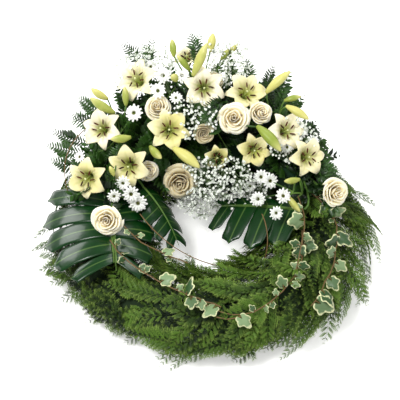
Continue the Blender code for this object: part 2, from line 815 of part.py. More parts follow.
def plain_leaf(foot, tip, normal, width):
    """A flat pointed leaf."""
    side = (tip - foot).cross(normal).normalized()
    outline = ((0.0, -0.0007), (0.0, 0.0007), (0.38, width), (0.72, 0.62 * width),
               (1.0, 0.0), (0.72, -0.62 * width), (0.38, -width))
    points = [foot.lerp(tip, t) + side * out for t, out in outline]
    return thicken(points, [(0, 1, 2), (0, 2, 6), (6, 2, 3), (6, 3, 5), (5, 3, 4)], 0.0010)


def backing(place, middle, hub, own):
    """Broad leaves on twigs that fan out behind the flowers, as far as the mound's back. The node's own stem and
    twigs are no hindrance."""
    shells, tips = [], []
    for _ in range(8000):
        if len(tips) == BACK_LEAVES:
            break
        local = Vector((random.uniform(-1.5, 1.5), random.uniform(-0.2, 1.4), random.uniform(0.0, 1.0)))
        lean = (place.to_3x3() @ local).normalized()
        tip = middle + lean * random.uniform(0.09, 0.21)
        base = tip - lean * BACK_LEAF_LENGTH * random.uniform(0.7, 1.0)
        foot = hub.lerp(own[0], 0.03 * len(own))
        if not -0.045 < over_mound(tip) < -0.004 or min(tip.z, base.z) < BACK_LEAF_LOW:
            continue
        if any((tip - other).length < BACK_LEAF_LENGTH * 0.4 for other in tips):
            continue
        shoulder = base.lerp(tip, 0.2)
        if not is_free(foot, shoulder, 0.0, own) or not is_free(shoulder, tip, BACK_LEAF_WIDTH * 0.72):
            continue
        tips.append(tip)
        own.append(foot)
        shells.append(tube([base.lerp(tip, 0.06), foot], [0.0011, 0.0014], 3))
        shells.append(plain_leaf(base, tip, Vector((0.0, 0.0, 1.0)), BACK_LEAF_WIDTH))
        take((foot, base, 0.0014), (base, tip, BACK_LEAF_WIDTH * 0.72))
    return shells


def greens(name, twigs, fillers, finish, leaf_length=0.075):
    """The greens of one brick: leafy twigs where the photograph shows them, short ones that fill the mound, and
    broad leaves behind it."""
    place = FOAM_PLACES[FOAM_NAMES.index(name.split("_")[-1])]
    middle = place @ Vector((0.0, 0.0, FOAM_SIZE.z + 0.06))
    hub, root, stem = main_stem(middle, 0.55, 0.0026)
    shells, own = [stem], [root]
    for x, y, first_lift, tip_x, tip_y, towards in twigs:
        foot = hub.lerp(root, 0.03 * len(own))
        places = []
        for k in range(-5, 7):
            base = seen(x, y, over_mound, first_lift + 0.005 * k)
            tip = base + shown_step(x, y, tip_x, tip_y, towards)
            spare = min(room(foot, base, own) - 0.0016, room(base, tip) - 0.008)
            places.append((spare - 0.0001 * abs(k), base, tip))
        _, base, tip = max(places, key=lambda place: place[0])
        shells.append(tube([base.lerp(tip, 0.06), foot], [0.0011, 0.0016], 3))
        shells.append(cut_leaf(base, tip, TOWARDS, 0.015, 3))
        take((foot, base, 0.0016), (base, tip, 0.010))
        own.append(foot)
    filled = 0
    for _ in range(4000):
        if filled == fillers:
            break
        lean = place.to_3x3() @ Vector((random.uniform(-1.2, 1.2), random.uniform(-0.8, 0.8), 1.0))
        lean.normalize()
        base = middle + lean * random.uniform(0.0, 0.07)
        tip = base + lean * leaf_length * random.uniform(0.8, 1.1)
        foot = hub.lerp(root, 0.03 * len(own))
        if over_mound(tip) > 0.012 or not is_free(foot, base, 0.0, own) or not is_free(base, tip, 0.009):
            continue
        filled += 1
        own.append(foot)
        shells.append(tube([base.lerp(tip, 0.06), foot], [0.0011, 0.0014], 3))
        shells.append(cut_leaf(base, tip, TOWARDS, 0.014, 2))
        take((foot, base, 0.0014), (base, tip, 0.011))
    return fuse(name, shells + backing(place, middle, hub, own), finish)


# Ivy


def ivy_leaf(foot, forward, normal, size):
    """A three-lobed ivy leaf from its foot."""
    side = forward.cross(normal).normalized()
    outline = ((0.0, 0.0), (0.02, 0.52), (0.36, 0.26), (1.0, 0.0), (0.36, -0.26), (0.02, -0.52))
    points = [foot + forward * u * size + side * v * size for u, v in outline]
    return thicken(points, [(0, 2, 1), (0, 3, 2), (0, 4, 3), (0, 5, 4)], 0.0010)


def ivy_trail(name, route, leaf_size, finish):
    """An ivy shoot over the cedar, along pixels of the photograph, with leaves to both sides."""
    path = [seen(x, y, over_cedar, lift) for x, y, lift in route]
    shells = [tube(path, [0.0016] * len(path), 3)]
    for k in range(1, len(path) - 1):
        ahead = (path[k + 1] - path[k - 1]).normalized()
        normal = (path[k] - ring_point(bearing_of(path[k]), 0.0, BED_MIDDLE)).normalized()
        side = ahead.cross(normal).normalized() * (1 if k % 2 else -1)
        forward = (side * 0.9 + ahead * 0.35 + normal * 0.12).normalized()
        size = leaf_size * (1.0 - 0.25 * (k % 3) / 2)
        shells.append(ivy_leaf(path[k] - forward * 0.0015, forward, normal, size))
    return fuse(name, shells, finish)


# Where the photograph shows each flower: name, x, y, lift over the mound, lean right, lean up, opening, size
LILIES = (
    ("lily_01", 137, 80, 0.010, -0.35, 0.25, 1.0, 0.98),
    ("lily_02", 204, 88, 0.004, 0.05, -0.10, 0.9, 0.98),
    ("lily_03", 246, 93, -0.010, 0.20, 0.25, 1.0, 0.95),
    ("lily_04", 102, 129, 0.012, -0.25, 0.10, 1.0, 0.92),
    ("lily_05", 169, 130, 0.010, 0.05, 0.00, 0.9, 0.98),
    ("lily_06", 217, 157, -0.004, 0.10, -0.35, 0.5, 0.70),
    ("lily_07", 254, 150, 0.004, 0.10, -0.20, 0.8, 0.82),
    ("lily_08", 286, 131, 0.014, 0.30, 0.10, 0.9, 0.90),
    ("lily_09", 307, 157, 0.012, 0.40, -0.05, 0.9, 0.90),
    ("lily_10", 129, 166, 0.010, -0.15, -0.20, 0.9, 0.98),
    ("lily_11", 87, 178, 0.012, -0.25, -0.20, 0.9, 0.94, (0.0, 0.012)),
    ("lily_12", 187, 58, -0.006, -0.10, 0.55, 0.4, 0.75),
)
ROSES = (
    ("rose_01", 157, 106, 0.002, -0.10, 0.25, 0.5, 0.88),
    ("rose_02", 215, 78, -0.024, 0.35, 0.45, 0.6, 0.66, (0.016, 0.0)),
    ("rose_03", 234, 118, 0.024, 0.00, 0.05, 0.9, 1.00),
    ("rose_04", 262, 112, 0.027, 0.30, 0.15, 0.1, 0.84),
    ("rose_05", 204, 134, -0.030, 0.10, -0.20, 0.3, 0.72),
    ("rose_06", 149, 172, 0.000, 0.20, -0.25, 0.3, 0.74),
    ("rose_07", 180, 184, 0.006, 0.00, -0.40, 1.0, 1.05),
    ("rose_08", 106, 221, 0.046, -0.10, -0.15, 0.5, 0.98, (0.012, -0.010)),
    ("rose_09", 338, 193, 0.018, 0.45, -0.10, 0.5, 0.92),
)
# Buds by stem: the root's shift, then base x, base y, tip x, tip y, lift, lean towards the viewer, radius
BUD_STEMS = (
    ("bud_stem_top", (-0.016, 0.022), (
        (174, 57, 172, 40, 0.034, 0.1, 0.0075),
        (190, 71, 178, 57, 0.022, 0.2, 0.0070),
        (193, 76, 206, 46, 0.032, 0.3, 0.0105),
        (210, 52, 213, 34, 0.020, 0.1, 0.0095),
        (229, 54, 238, 45, 0.010, 0.1, 0.0060),
        (221, 60, 228, 50, 0.004, 0.2, 0.0060),
    )),
    ("bud_stem_left", (0.0, 0.0), (
        (108, 99, 92, 89, 0.010, 0.2, 0.0085),
        (115, 113, 92, 99, 0.014, 0.3, 0.0100),
        (126, 106, 125, 88, 0.004, 0.2, 0.0075),
    )),
    ("bud_stem_right", (0.0, 0.0), (
        (266, 93, 289, 73, 0.014, 0.2, 0.0100),
        (284, 101, 300, 97, 0.016, 0.1, 0.0065),
        (286, 106, 307, 119, 0.040, 0.2, 0.0090),
    )),
    ("bud_stem_low_right", (0.0, 0.0), (
        (267, 219, 268, 198, 0.020, 0.1, 0.0090),
        (300, 179, 285, 181, 0.016, 0.2, 0.0070),
        (288, 196, 299, 211, 0.010, 0.2, 0.0070),
    )),
    ("bud_stem_middle", (0.014, 0.008), (
        (257, 126, 279, 150, 0.047, 0.2, 0.0120),
        (173, 148, 198, 167, 0.030, 0.2, 0.0125),
    )),
)
# Daisies by stem: x, y, lift, lean right, lean up, size
DAISY_SPRAYS = (
    ("daisy_spray_top", (
        (163, 76, 0.010, 0.0, 0.3, 0.95),
        (158, 91, 0.022, 0.0, 0.1, 0.90),
        (182, 76, -0.012, 0.0, 0.3, 0.85),
        (151, 67, 0.006, -0.1, 0.4, 0.85),
    )),
    ("daisy_spray_left", (
        (134, 113, 0.018, -0.1, 0.1, 0.95),
        (80, 157, 0.012, -0.5, 0.2, 0.70),
    )),
    ("daisy_spray_low_left", (
        (123, 183, 0.012, 0.0, -0.3, 0.80),
        (131, 194, 0.014, 0.0, -0.3, 0.95),
        (138, 203, 0.016, 0.0, -0.3, 1.00),
        (114, 196, 0.004, 0.2, -0.4, 0.75),
    )),
    ("daisy_spray_low_right", (
        (261, 177, 0.014, -0.1, -0.1, 0.85),
        (270, 181, 0.010, 0.2, 0.0, 0.90),
        (258, 199, 0.050, -0.1, -0.1, 0.85),
        (283, 196, 0.024, 0.2, 0.1, 0.85),
        (276, 213, 0.050, 0.2, -0.1, 0.75),
    )),
)
# Gypsophila: x, y, lift, half width and half height of the cloud, florets
CLOUDS = (
    ("gypsophila_middle", (216, 178, 0.012, 0.075, 0.040), 11),
    ("gypsophila_low", (203, 203, 0.018, 0.050, 0.030), 12),
    ("gypsophila_top", (226, 62, 0.006, 0.050, 0.045), 8),
    ("gypsophila_top_left", (154, 62, 0.014, 0.055, 0.030), 7),
)
# Leafy twigs: foot x, y, lift, tip x, y, lean towards the viewer
GREENS = (
    ("greens_left", (
        (142, 62, -0.004, 126, 41, 0.1),
        (149, 58, 0.008, 145, 38, 0.1),
        (97, 112, -0.020, 79, 96, 0.1),
        (92, 124, -0.020, 72, 113, 0.1),
        (74, 140, 0.004, 56, 132, 0.1),
    ), 4),
    ("greens_middle", (
        (196, 50, 0.034, 191, 33, 0.0),
        (250, 72, 0.000, 243, 57, 0.1),
    ), 4),
    ("greens_right", (
        (268, 80, 0.000, 274, 66, 0.1),
        (308, 136, -0.010, 325, 118, 0.1),
        (322, 172, -0.012, 336, 158, 0.1),
    ), 4),
)
# Ivy: x, y, lift over the bed of the cedar
IVY_TRAILS = (
    ("ivy_left", (
        (110, 240, 0.074), (117, 251, 0.070), (129, 262, 0.066), (143, 272, 0.062), (158, 281, 0.058),
        (174, 289, 0.056), (190, 296, 0.054), (206, 302, 0.052), (221, 307, 0.052),
    )),
    ("ivy_middle", (
        (216, 317, 0.050), (236, 318, 0.050), (254, 312, 0.050), (269, 303, 0.050), (283, 291, 0.050),
        (294, 277, 0.050), (301, 262, 0.050), (303, 246, 0.050), (302, 230, 0.052),
    )),
    ("ivy_right", (
        (306, 190, 0.072), (320, 200, 0.066), (331, 211, 0.062), (337, 226, 0.058), (338, 242, 0.056),
        (335, 258, 0.054), (330, 274, 0.052), (322, 290, 0.050), (311, 306, 0.050),
    )),
)
# Monstera: base x, y, height; tip x, y, height; half widths, bends, arch, lobes, the root's shift
MONSTERA = (
    ("monstera_left", (110, 196, 0.142), (116, 268, 0.142), (0.115, 0.188), (0.70, 1.1), 0.006, 5, (0, -0.012)),
    ("monstera_hole_left", (144, 188, 0.150), (178, 244, 0.085), (0.060, 0.060), (0.8, 0.8), 0.010, 4, (0, 0)),
    ("monstera_hole_right", (302, 210, 0.158), (216, 206, 0.106), (0.105, 0.035), (0.30, 0.9), 0.010, 5, (0, 0)),
)


def clear_scene():
    """Removes whatever the scene holds."""
    for thing in list(bpy.data.objects):
        bpy.data.objects.remove(thing)


def big_leaves(finish):
    """The three monstera leaves, laid over the cedar and out over the hole."""
    for name, base, tip, widths, bends, arch, lobes, shift in MONSTERA:
        start, end = height_at(*base), height_at(*tip)
        middle = start.lerp(end, 0.5)
        crest = ring_point(bearing_of(middle), 0.0, BED_MIDDLE)
        upward = (middle - crest).normalized() + Vector((0.0, 0.0, 0.8))
        split_leaf(name, start, end, upward.normalized(), widths, bends, arch, lobes, shift, finish)


def main():
    clear_scene()
    straw = material("wrapped_straw", (0.030, 0.060, 0.018), 0.85)
    foam = material("wet_foam", (0.05, 0.16, 0.05), 0.95)
    cedar_green = material("cedar", (0.045, 0.105, 0.020), 0.55)
    leaf_green = material("monstera", (0.010, 0.060, 0.014), 0.22)
    lily_white = material("lily", (0.86, 0.82, 0.62), 0.45)
    rose_cream = material("rose", (0.88, 0.78, 0.56), 0.55)
    bud_green = material("lily_bud", (0.50, 0.52, 0.10), 0.45)
    daisy_white = material("daisy", (0.88, 0.88, 0.84), 0.55)
    floret_white = material("gypsophila", (0.86, 0.87, 0.82), 0.6)
    twig_green = material("leafy_twig", (0.030, 0.095, 0.022), 0.5)
    ivy_green = material("ivy", (0.28, 0.38, 0.17), 0.45)

    for flower in LILIES:
        lily(lily_white, *flower)
    for flower in ROSES:
        rose(rose_cream, *flower)
    big_leaves(leaf_green)
    for name, shift, buds in BUD_STEMS:
        bud_stem(name, buds, bud_green, shift)
    for name, heads in DAISY_SPRAYS:
        daisy_spray(name, heads, daisy_white)
    cedar(cedar_green)
    for name, cloud, count in CLOUDS:
        gypsophila(name, cloud, count, floret_white)
    for name, twigs, fillers in GREENS:
        greens(name, twigs, fillers, twig_green)
    for name, route in IVY_TRAILS:
        ivy_trail(name, route, 0.030, ivy_green)
    foam_bricks(foam)
    straw_ring(straw)


main()
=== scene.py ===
"""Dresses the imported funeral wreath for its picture.

Units are metres and +Z is up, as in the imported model. The wreath lies on its back: its mound of flowers is
on the far half, +Y, and its cedar on the near half. A bearing is an angle round the ring: 0 points to +Y,
90 degrees to +X. Flowers stand where the photograph shows them: their places are pixels of its 400 by 400
frame, carried along the line of sight to the mound of flowers or to the cedar.
"""

import logging
import math
import random
from collections.abc import Callable, Sequence
from dataclasses import dataclass, field
from enum import Enum

import bpy
from mathutils import Matrix, Vector


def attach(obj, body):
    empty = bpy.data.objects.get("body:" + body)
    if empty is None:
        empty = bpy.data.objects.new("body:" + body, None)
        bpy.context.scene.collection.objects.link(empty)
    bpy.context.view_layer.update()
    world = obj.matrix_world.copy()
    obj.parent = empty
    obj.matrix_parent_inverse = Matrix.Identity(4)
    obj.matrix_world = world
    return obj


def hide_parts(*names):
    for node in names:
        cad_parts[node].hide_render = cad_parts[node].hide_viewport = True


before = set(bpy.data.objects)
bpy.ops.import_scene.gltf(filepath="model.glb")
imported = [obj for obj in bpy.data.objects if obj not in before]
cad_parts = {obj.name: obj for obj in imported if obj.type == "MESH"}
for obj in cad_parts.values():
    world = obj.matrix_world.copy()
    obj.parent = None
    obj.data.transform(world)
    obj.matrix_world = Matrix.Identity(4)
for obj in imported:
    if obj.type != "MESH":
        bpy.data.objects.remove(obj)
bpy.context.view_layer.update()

log = logging.getLogger("wreath")

# The ring, the bed of the cedar and the mound of flowers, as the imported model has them
RING_CENTRE = Vector((0.009, 0.006, 0.0))
RING_RADIUS = 0.250
BED_HALF_WIDTH = 0.098
BED_MIDDLE = 0.045
BED_RISE = 0.056
SPINE_HEIGHT = 0.125
SPINE_END = math.radians(80.0)
MOUND_LOW = 0.085
MOUND_SWELL = 0.135
MOUND_POWER = 1.5

# How far before and beyond the view's target a surface is looked for, and when it counts as reached
SEARCH_BEFORE = 0.6
SEARCH_BEYOND = 0.5
SEARCH_REACHED = 0.0002
SEARCH_STEP = 0.0005

# The photograph's view
VIEW_TILT = math.radians(47.0)
VIEW_DISTANCE = 3.2
PIXEL = 0.0024
PHOTO_MIDDLE = 200.0
PHOTO_WIDTH = 400.0
SENSOR_WIDTH = 36.0
VIEW_TARGET = RING_CENTRE + Vector((-0.017, 0.105, 0.060))
RIGHT = Vector((1.0, 0.0, 0.0))
UP = Vector((0.0, math.sin(VIEW_TILT), math.cos(VIEW_TILT)))
TOWARDS = Vector((0.0, -math.cos(VIEW_TILT), math.sin(VIEW_TILT)))
EYE = VIEW_TARGET + TOWARDS * VIEW_DISTANCE

# The cedar is bound on bunch after bunch, a step of bearing apart, in degrees
BUNCH_STEP = 24.0
FIRST_BUNCH = 78.0

# No rib is laid lower than the first height, and what hangs lower than the second is pressed flatter
FLOOR_CLEARANCE = 0.003
FLOOR_REST = 0.007

# The floral foam: its bricks' bearings and half their spread in degrees, and where in it the stems end
FOAM_BEARINGS = (-50.0, 0.0, 50.0)
FOAM_SPREAD = 11.0
FOAM_INSET = 0.006
FOAM_HEIGHT = 0.160

# Where the stalks of buds and daisies meet in one stem
HUB_HEIGHT = 0.19


class Tree(Enum):
    """The node trees that make what repeats."""

    FROND = "blades in pairs along a rib"
    SCATTER = "a shape on each point"
    SWEEP = "a round stem along each line"


# Places


def ring_point(bearing: float, outward: float, height: float) -> Vector:
    """The point at a bearing, so far outside the ring's centre circle, at a height."""
    radius = RING_RADIUS + outward
    return RING_CENTRE + Vector((radius * math.sin(bearing), radius * math.cos(bearing), height))


def bed_point(bearing: float, section: float, lift: float) -> Vector:
    """The point over the cedar's bed.

    Args:
        bearing: The angle round the ring.
        section: The angle round the bed: 0 is the hole's side, a quarter turn the top, a half the outside.
        lift: How far over the bed.

    Returns:
        The point, never under the floor.
    """
    outward = -(BED_HALF_WIDTH + lift) * math.cos(section)
    height = BED_MIDDLE + (BED_RISE + lift) * math.sin(section)
    return ring_point(bearing, outward, max(height, FLOOR_CLEARANCE))


def bearing_of(point: Vector) -> float:
    """The bearing of a point round the ring's centre."""
    return math.atan2(point.x - RING_CENTRE.x, point.y - RING_CENTRE.y)


def over_mound(point: Vector) -> float:
    """How far a point is outside the mound of flowers.

    Args:
        point: The point.

    Returns:
        The distance, less than 0 inside the mound.
    """
    bearing = max(-SPINE_END, min(SPINE_END, bearing_of(point)))
    spine = ring_point(bearing, 0.0, SPINE_HEIGHT)
    return (point - spine).length - MOUND_LOW - MOUND_SWELL * math.cos(bearing) ** MOUND_POWER


def over_cedar(point: Vector) -> float:
    """How far a point is over the bed of the cedar, measured at its top.

    Args:
        point: The point.

    Returns:
        The distance, less than 0 inside the bed.
    """
    outward = math.hypot(point.x - RING_CENTRE.x, point.y - RING_CENTRE.y) - RING_RADIUS
    share = math.hypot(outward / BED_HALF_WIDTH, (point.z - BED_MIDDLE) / BED_RISE)
    return (share - 1) * BED_RISE


def sight(x: float, y: float) -> Vector:
    """The direction in which the photograph's pixel is seen.

    Args:
        x: The pixel's column.
        y: The pixel's row.

    Returns:
        The direction from the eye, of unit length.
    """
    across = (x - PHOTO_MIDDLE) * PIXEL / VIEW_DISTANCE
    rise = (PHOTO_MIDDLE - y) * PIXEL / VIEW_DISTANCE
    return (RIGHT * across + UP * rise - TOWARDS).normalized()


def seen(x: float, y: float, distance_over: Callable[[Vector], float], lift: float) -> Vector:
    """The first point on a pixel's line of sight that is so far over a surface, or else the nearest to it.

    Args:
        x: The pixel's column.
        y: The pixel's row.
        distance_over: How far a point is over the surface.
        lift: The distance over the surface that is looked for.

    Returns:
        The point.
    """
    line = sight(x, y)
    reach = VIEW_DISTANCE - SEARCH_BEFORE
    best, best_gap = EYE + line * reach, math.inf
    while reach < VIEW_DISTANCE + SEARCH_BEYOND:
        point = EYE + line * reach
        gap = distance_over(point) - lift
        if gap < SEARCH_REACHED:
            return point
        if gap < best_gap:
            best, best_gap = point, gap
        # The mound isn't quite as far away as it measures, so each step is a little shorter than the gap
        reach += max(gap * 0.7, SEARCH_STEP)
    return best


def height_at(x: float, y: float, height: float) -> Vector:
    """The point at a height that a pixel shows."""
    line = sight(x, y)
    return EYE + line * ((height - EYE.z) / line.z)


def shown_step(x: float, y: float, tip_x: float, tip_y: float, towards: float) -> Vector:
    """The step from one pixel to another, leaning towards the viewer by a share of its length."""
    across = RIGHT * (tip_x - x) * PIXEL + UP * (y - tip_y) * PIXEL
    return across + TOWARDS * towards * across.length


def facing(right: float, up: float) -> Vector:
    """The direction that leans so far to the photograph's right and top; the rest of it faces the viewer."""
    towards = math.sqrt(max(0.0, 1.0 - right * right - up * up))
    return (RIGHT * right + UP * up + TOWARDS * towards).normalized()


def stand(base: Vector, forward: Vector, roll: float = 0.0) -> Matrix:
    """The matrix that carries +Z to a direction, from a base point."""
    turn = forward.to_track_quat("Z", "Y").to_matrix().to_4x4()
    return Matrix.Translation(base) @ turn @ Matrix.Rotation(roll, 4, "Z")


def in_foam(point: Vector) -> Vector:
    """The place in the nearest brick of foam where the stem of what stands at a point is stuck.

    Args:
        point: Where the flower or the spray stands.

    Returns:
        The stem's end in the foam.
    """
    bearing = math.degrees(bearing_of(point))
    brick = min(FOAM_BEARINGS, key=lambda middle: abs(middle - bearing))
    aside = max(-FOAM_SPREAD, min(FOAM_SPREAD, (bearing - brick) * 0.5))
    return ring_point(math.radians(brick + aside), -FOAM_INSET, FOAM_HEIGHT)


def bezier(stops: Sequence[Vector], share: float) -> Vector:
    """The point at a share of a smooth curve.

    Args:
        stops: The three or four stops that draw the curve. It goes through the first and the last.
        share: The share of the curve, 0 to 1.

    Returns:
        The point.
    """
    level = list(stops)
    while len(level) > 1:
        level = [a.lerp(b, share) for a, b in zip(level, level[1:])]
    return level[0]


def curve(stops: Sequence[Vector], parts: int) -> list[Vector]:
    """The points of a smooth curve that is cut into so many parts."""
    return [bezier(stops, k / parts) for k in range(parts + 1)]


def jitter(chance: random.Random, size: float) -> Vector:
    """A random step of at most a size along each axis."""
    return Vector([chance.uniform(-size, size) for _ in range(3)])


# Meshes


class Shell:
    """The points, faces and vertex values of a mesh that is being built.

    Each point keeps how far along its blade it is, how far across it, and the tone of its blade. Each face
    keeps the number of its finish.
    """

    VALUES = ("along", "across", "tone")

    def __init__(self) -> None:
        """Starts an empty mesh."""
        self.points: list[Vector] = []
        self.values: list[tuple[float, float, float]] = []
        self.faces: list[tuple[int, ...]] = []
        self.finishes: list[int] = []

    def add(self, point: Vector, along: float = 0.0, across: float = 0.0, tone: float = 0.5) -> int:
        """Adds a point.

        Args:
            point: Its place.
            along: How far along its blade it is, 0 to 1.
            across: How far across its blade it is, -1 to 1.
            tone: The tone of its blade, 0 to 1.

        Returns:
            Its number.
        """
        self.points.append(point)
        self.values.append((along, across, tone))
        return len(self.points) - 1

    def face(self, corners: Sequence[int], finish: int = 0) -> None:
        """Adds a face."""
        self.faces.append(tuple(corners))
        self.finishes.append(finish)

    def blade(self, surface: Callable[[float, float], Vector], rows: int, columns: int, thickness: float,
              tone: float = 0.5, finish: int = 0) -> None:
        """Adds a closed blade over a surface.

        Args:
            surface: The point at a share along, 0 to 1, and a share across, -1 to 1.
            rows: The number of faces along.
            columns: The number of faces across.
            thickness: The blade's thickness.
            tone: The blade's own tone, 0 to 1.
            finish: The number of its finish.
        """
        stops = [[(i / rows, 2 * j / columns - 1) for j in range(columns + 1)] for i in range(rows + 1)]
        spots = [[surface(u, v) for u, v in row] for row in stops]
        sides: list[list[list[int]]] = [[], []]
        for i, row in enumerate(stops):
            for side in sides:
                side.append([])
            for j, (u, v) in enumerate(row):
                ahead = spots[min(i + 1, rows)][j] - spots[max(i - 1, 0)][j]
                aside = spots[i][min(j + 1, columns)] - spots[i][max(j - 1, 0)]
                normal = aside.cross(ahead).normalized() * thickness / 2
                sides[0][i].append(self.add(spots[i][j] + normal, u, v, tone))
                sides[1][i].append(self.add(spots[i][j] - normal, u, v, tone))
        top, under = sides
        for i in range(rows):
            for j in range(columns):
                self.face((top[i][j], top[i][j + 1], top[i + 1][j + 1], top[i + 1][j]), finish)
                self.face((under[i][j], under[i + 1][j], under[i + 1][j + 1], under[i][j + 1]), finish)
        rim = [(0, j) for j in range(columns)] + [(i, columns) for i in range(rows)]
        rim += [(rows, j) for j in range(columns, 0, -1)] + [(i, 0) for i in range(rows, 0, -1)]
        for (a, b), (c, d) in zip(rim, rim[1:] + rim[:1]):
            self.face((top[a][b], under[a][b], under[c][d], top[c][d]), finish)

    def kite(self, root: Vector, tip: Vector, side: Vector, lift: Vector, shoulder: float = 0.4,
             tone: float = 0.5, finish: int = 0) -> None:
        """Adds the smallest closed blade there is, of four triangles.

        Args:
            root: Its foot.
            tip: Its tip.
            side: The step from its middle line to its edge.
            lift: The step by which its edges lie over its middle line.
            shoulder: The share along at which it is widest.
            tone: Its own tone, 0 to 1.
            finish: The number of its finish.
        """
        middle = root.lerp(tip, shoulder)
        a, b = self.add(root, 0.0, 0.0, tone), self.add(tip, 1.0, 0.0, tone)
        c = self.add(middle - side + lift, shoulder, -1.0, tone)
        d = self.add(middle + side + lift, shoulder, 1.0, tone)
        for corners in ((a, d, c), (c, d, b), (a, c, b), (a, b, d)):
            self.face(corners, finish)

    def tube(self, path: Sequence[Vector], radii: Sequence[float], sides: int, tone: float = 0.5,
             finish: int = 0, ridge: Callable[[float], float] | None = None) -> None:
        """Adds a closed tube along a path.

        Args:
            path: The points of its middle line.
            radii: Its radius at each of them.
            sides: The number of its sides.
            tone: Its own tone, 0 to 1.
            finish: The number of its finish.
            ridge: The share by which the radius changes with the turn round it.
        """
        rings: list[list[int]] = []
        side = (path[1] - path[0]).orthogonal().normalized()
        for i, (centre, radius) in enumerate(zip(path, radii)):
            ahead = (path[min(i + 1, len(path) - 1)] - path[max(i - 1, 0)]).normalized()
            side = (side - ahead * side.dot(ahead)).normalized()
            other = ahead.cross(side)
            rings.append([])
            for k in range(sides):
                turn = 2 * math.pi * k / sides
                out = radius * (ridge(turn) if ridge else 1.0)
                spot = centre + (side * math.cos(turn) + other * math.sin(turn)) * out
                rings[-1].append(self.add(spot, i / (len(path) - 1), 2 * k / sides - 1, tone))
        for low, high in zip(rings, rings[1:]):
            for k in range(sides):
                n = (k + 1) % sides
                self.face((low[k], low[n], high[n], high[k]), finish)
        self.face(rings[0][::-1], finish)
        self.face(rings[-1], finish)

    def placed(self, other: "Shell", place: Matrix) -> None:
        """Adds a copy of another mesh.

        Args:
            other: The mesh that is copied.
            place: The matrix that moves the copy.
        """
        start = len(self.points)
        self.points += [place @ point for point in other.points]
        self.values += other.values
        self.faces += [tuple(corner + start for corner in corners) for corners in other.faces]
        self.finishes += other.finishes

    def made(self, name: str, materials: Sequence[bpy.types.Material] = (),
             smooth: bool = True) -> bpy.types.Object:
        """Makes the object.

        Args:
            name: The object's name.
            materials: One material for each number of finish.
            smooth: Whether its faces are shaded as one curved skin.

        Returns:
            The object, linked to the scene.
        """
        mesh = bpy.data.meshes.new(name)
        mesh.from_pydata([tuple(point) for point in self.points], [], self.faces)
        for material in materials:
            mesh.materials.append(material)
        mesh.polygons.foreach_set("material_index", self.finishes)
        mesh.polygons.foreach_set("use_smooth", [smooth] * len(self.faces))
        for k, value in enumerate(self.VALUES):
            layer = mesh.attributes.new(value, "FLOAT", "POINT")
            layer.data.foreach_set("value", [row[k] for row in self.values])
        mesh.update()
        thing = bpy.data.objects.new(name, mesh)
        bpy.context.scene.collection.objects.link(thing)
        return thing


class Points:
    """Points and lines that carry values, from which a node tree grows the repeats."""

    def __init__(self) -> None:
        """Starts with no points."""
        self.points: list[Vector] = []
        self.edges: list[tuple[int, int]] = []
        self.vectors: dict[str, list[Vector]] = {"aim": [], "up": []}
        self.numbers: dict[str, list[float]] = {"size": [], "tone": []}

    def add(self, point: Vector, aim: Vector, up: Vector, size: float, tone: float) -> None:
        """Adds a point.

        Args:
            point: Its place.
            aim: The way that its shape points.
            up: The way that its shape's upper side faces.
            size: Its size.
            tone: Its tone, 0 to 1.
        """
        self.points.append(point)
        self.vectors["aim"].append(aim)
        self.vectors["up"].append(up)
        self.numbers["size"].append(size)
        self.numbers["tone"].append(tone)

    def line(self, path: Sequence[Vector], ups: Sequence[Vector], sizes: Sequence[float],
             tone: float) -> None:
        """Adds a line.

        Args:
            path: Its points.
            ups: The way that its upper side faces at each of them.
            sizes: Its size at each of them.
            tone: Its tone, 0 to 1.
        """
        start = len(self.points)
        for point, up, size in zip(path, ups, sizes):
            self.add(point, up, up, size, tone)
        self.edges += [(start + k, start + k + 1) for k in range(len(path) - 1)]

    def made(self, name: str) -> bpy.types.Object:
        """Makes the object that holds the points and lines.

        Args:
            name: The object's name.

        Returns:
            The object, linked to the scene.
        """
        mesh = bpy.data.meshes.new(name)
        mesh.from_pydata([tuple(point) for point in self.points], self.edges, [])
        for value, rows in self.vectors.items():
            layer = mesh.attributes.new(value, "FLOAT_VECTOR", "POINT")
            layer.data.foreach_set("vector", [number for row in rows for number in row])
        for value, numbers in self.numbers.items():
            layer = mesh.attributes.new(value, "FLOAT", "POINT")
            layer.data.foreach_set("value", numbers)
        thing = bpy.data.objects.new(name, mesh)
        bpy.context.scene.collection.objects.link(thing)
        return thing


# Node trees


def add_node(tree: bpy.types.NodeTree, kind: str, links: dict, **settings: object) -> bpy.types.Node:
    """Adds a node.

    Args:
        tree: The tree that it goes into.
        kind: The node's type.
        links: For each input, by name or number, the socket that feeds it or its value.
        **settings: The node's own settings.

    Returns:
        The node.
    """
    made = tree.nodes.new(kind)
    for name, value in settings.items():
        setattr(made, name, value)
    for name, source in links.items():
        if isinstance(source, bpy.types.NodeSocket):
            tree.links.new(source, made.inputs[name])
        else:
            made.inputs[name].default_value = source
    return made


def calculated(tree: bpy.types.NodeTree, operation: str, *values: object) -> bpy.types.NodeSocket:
    """The socket of a sum on numbers."""
    return add_node(tree, "ShaderNodeMath", dict(enumerate(values)), operation=operation).outputs[0]


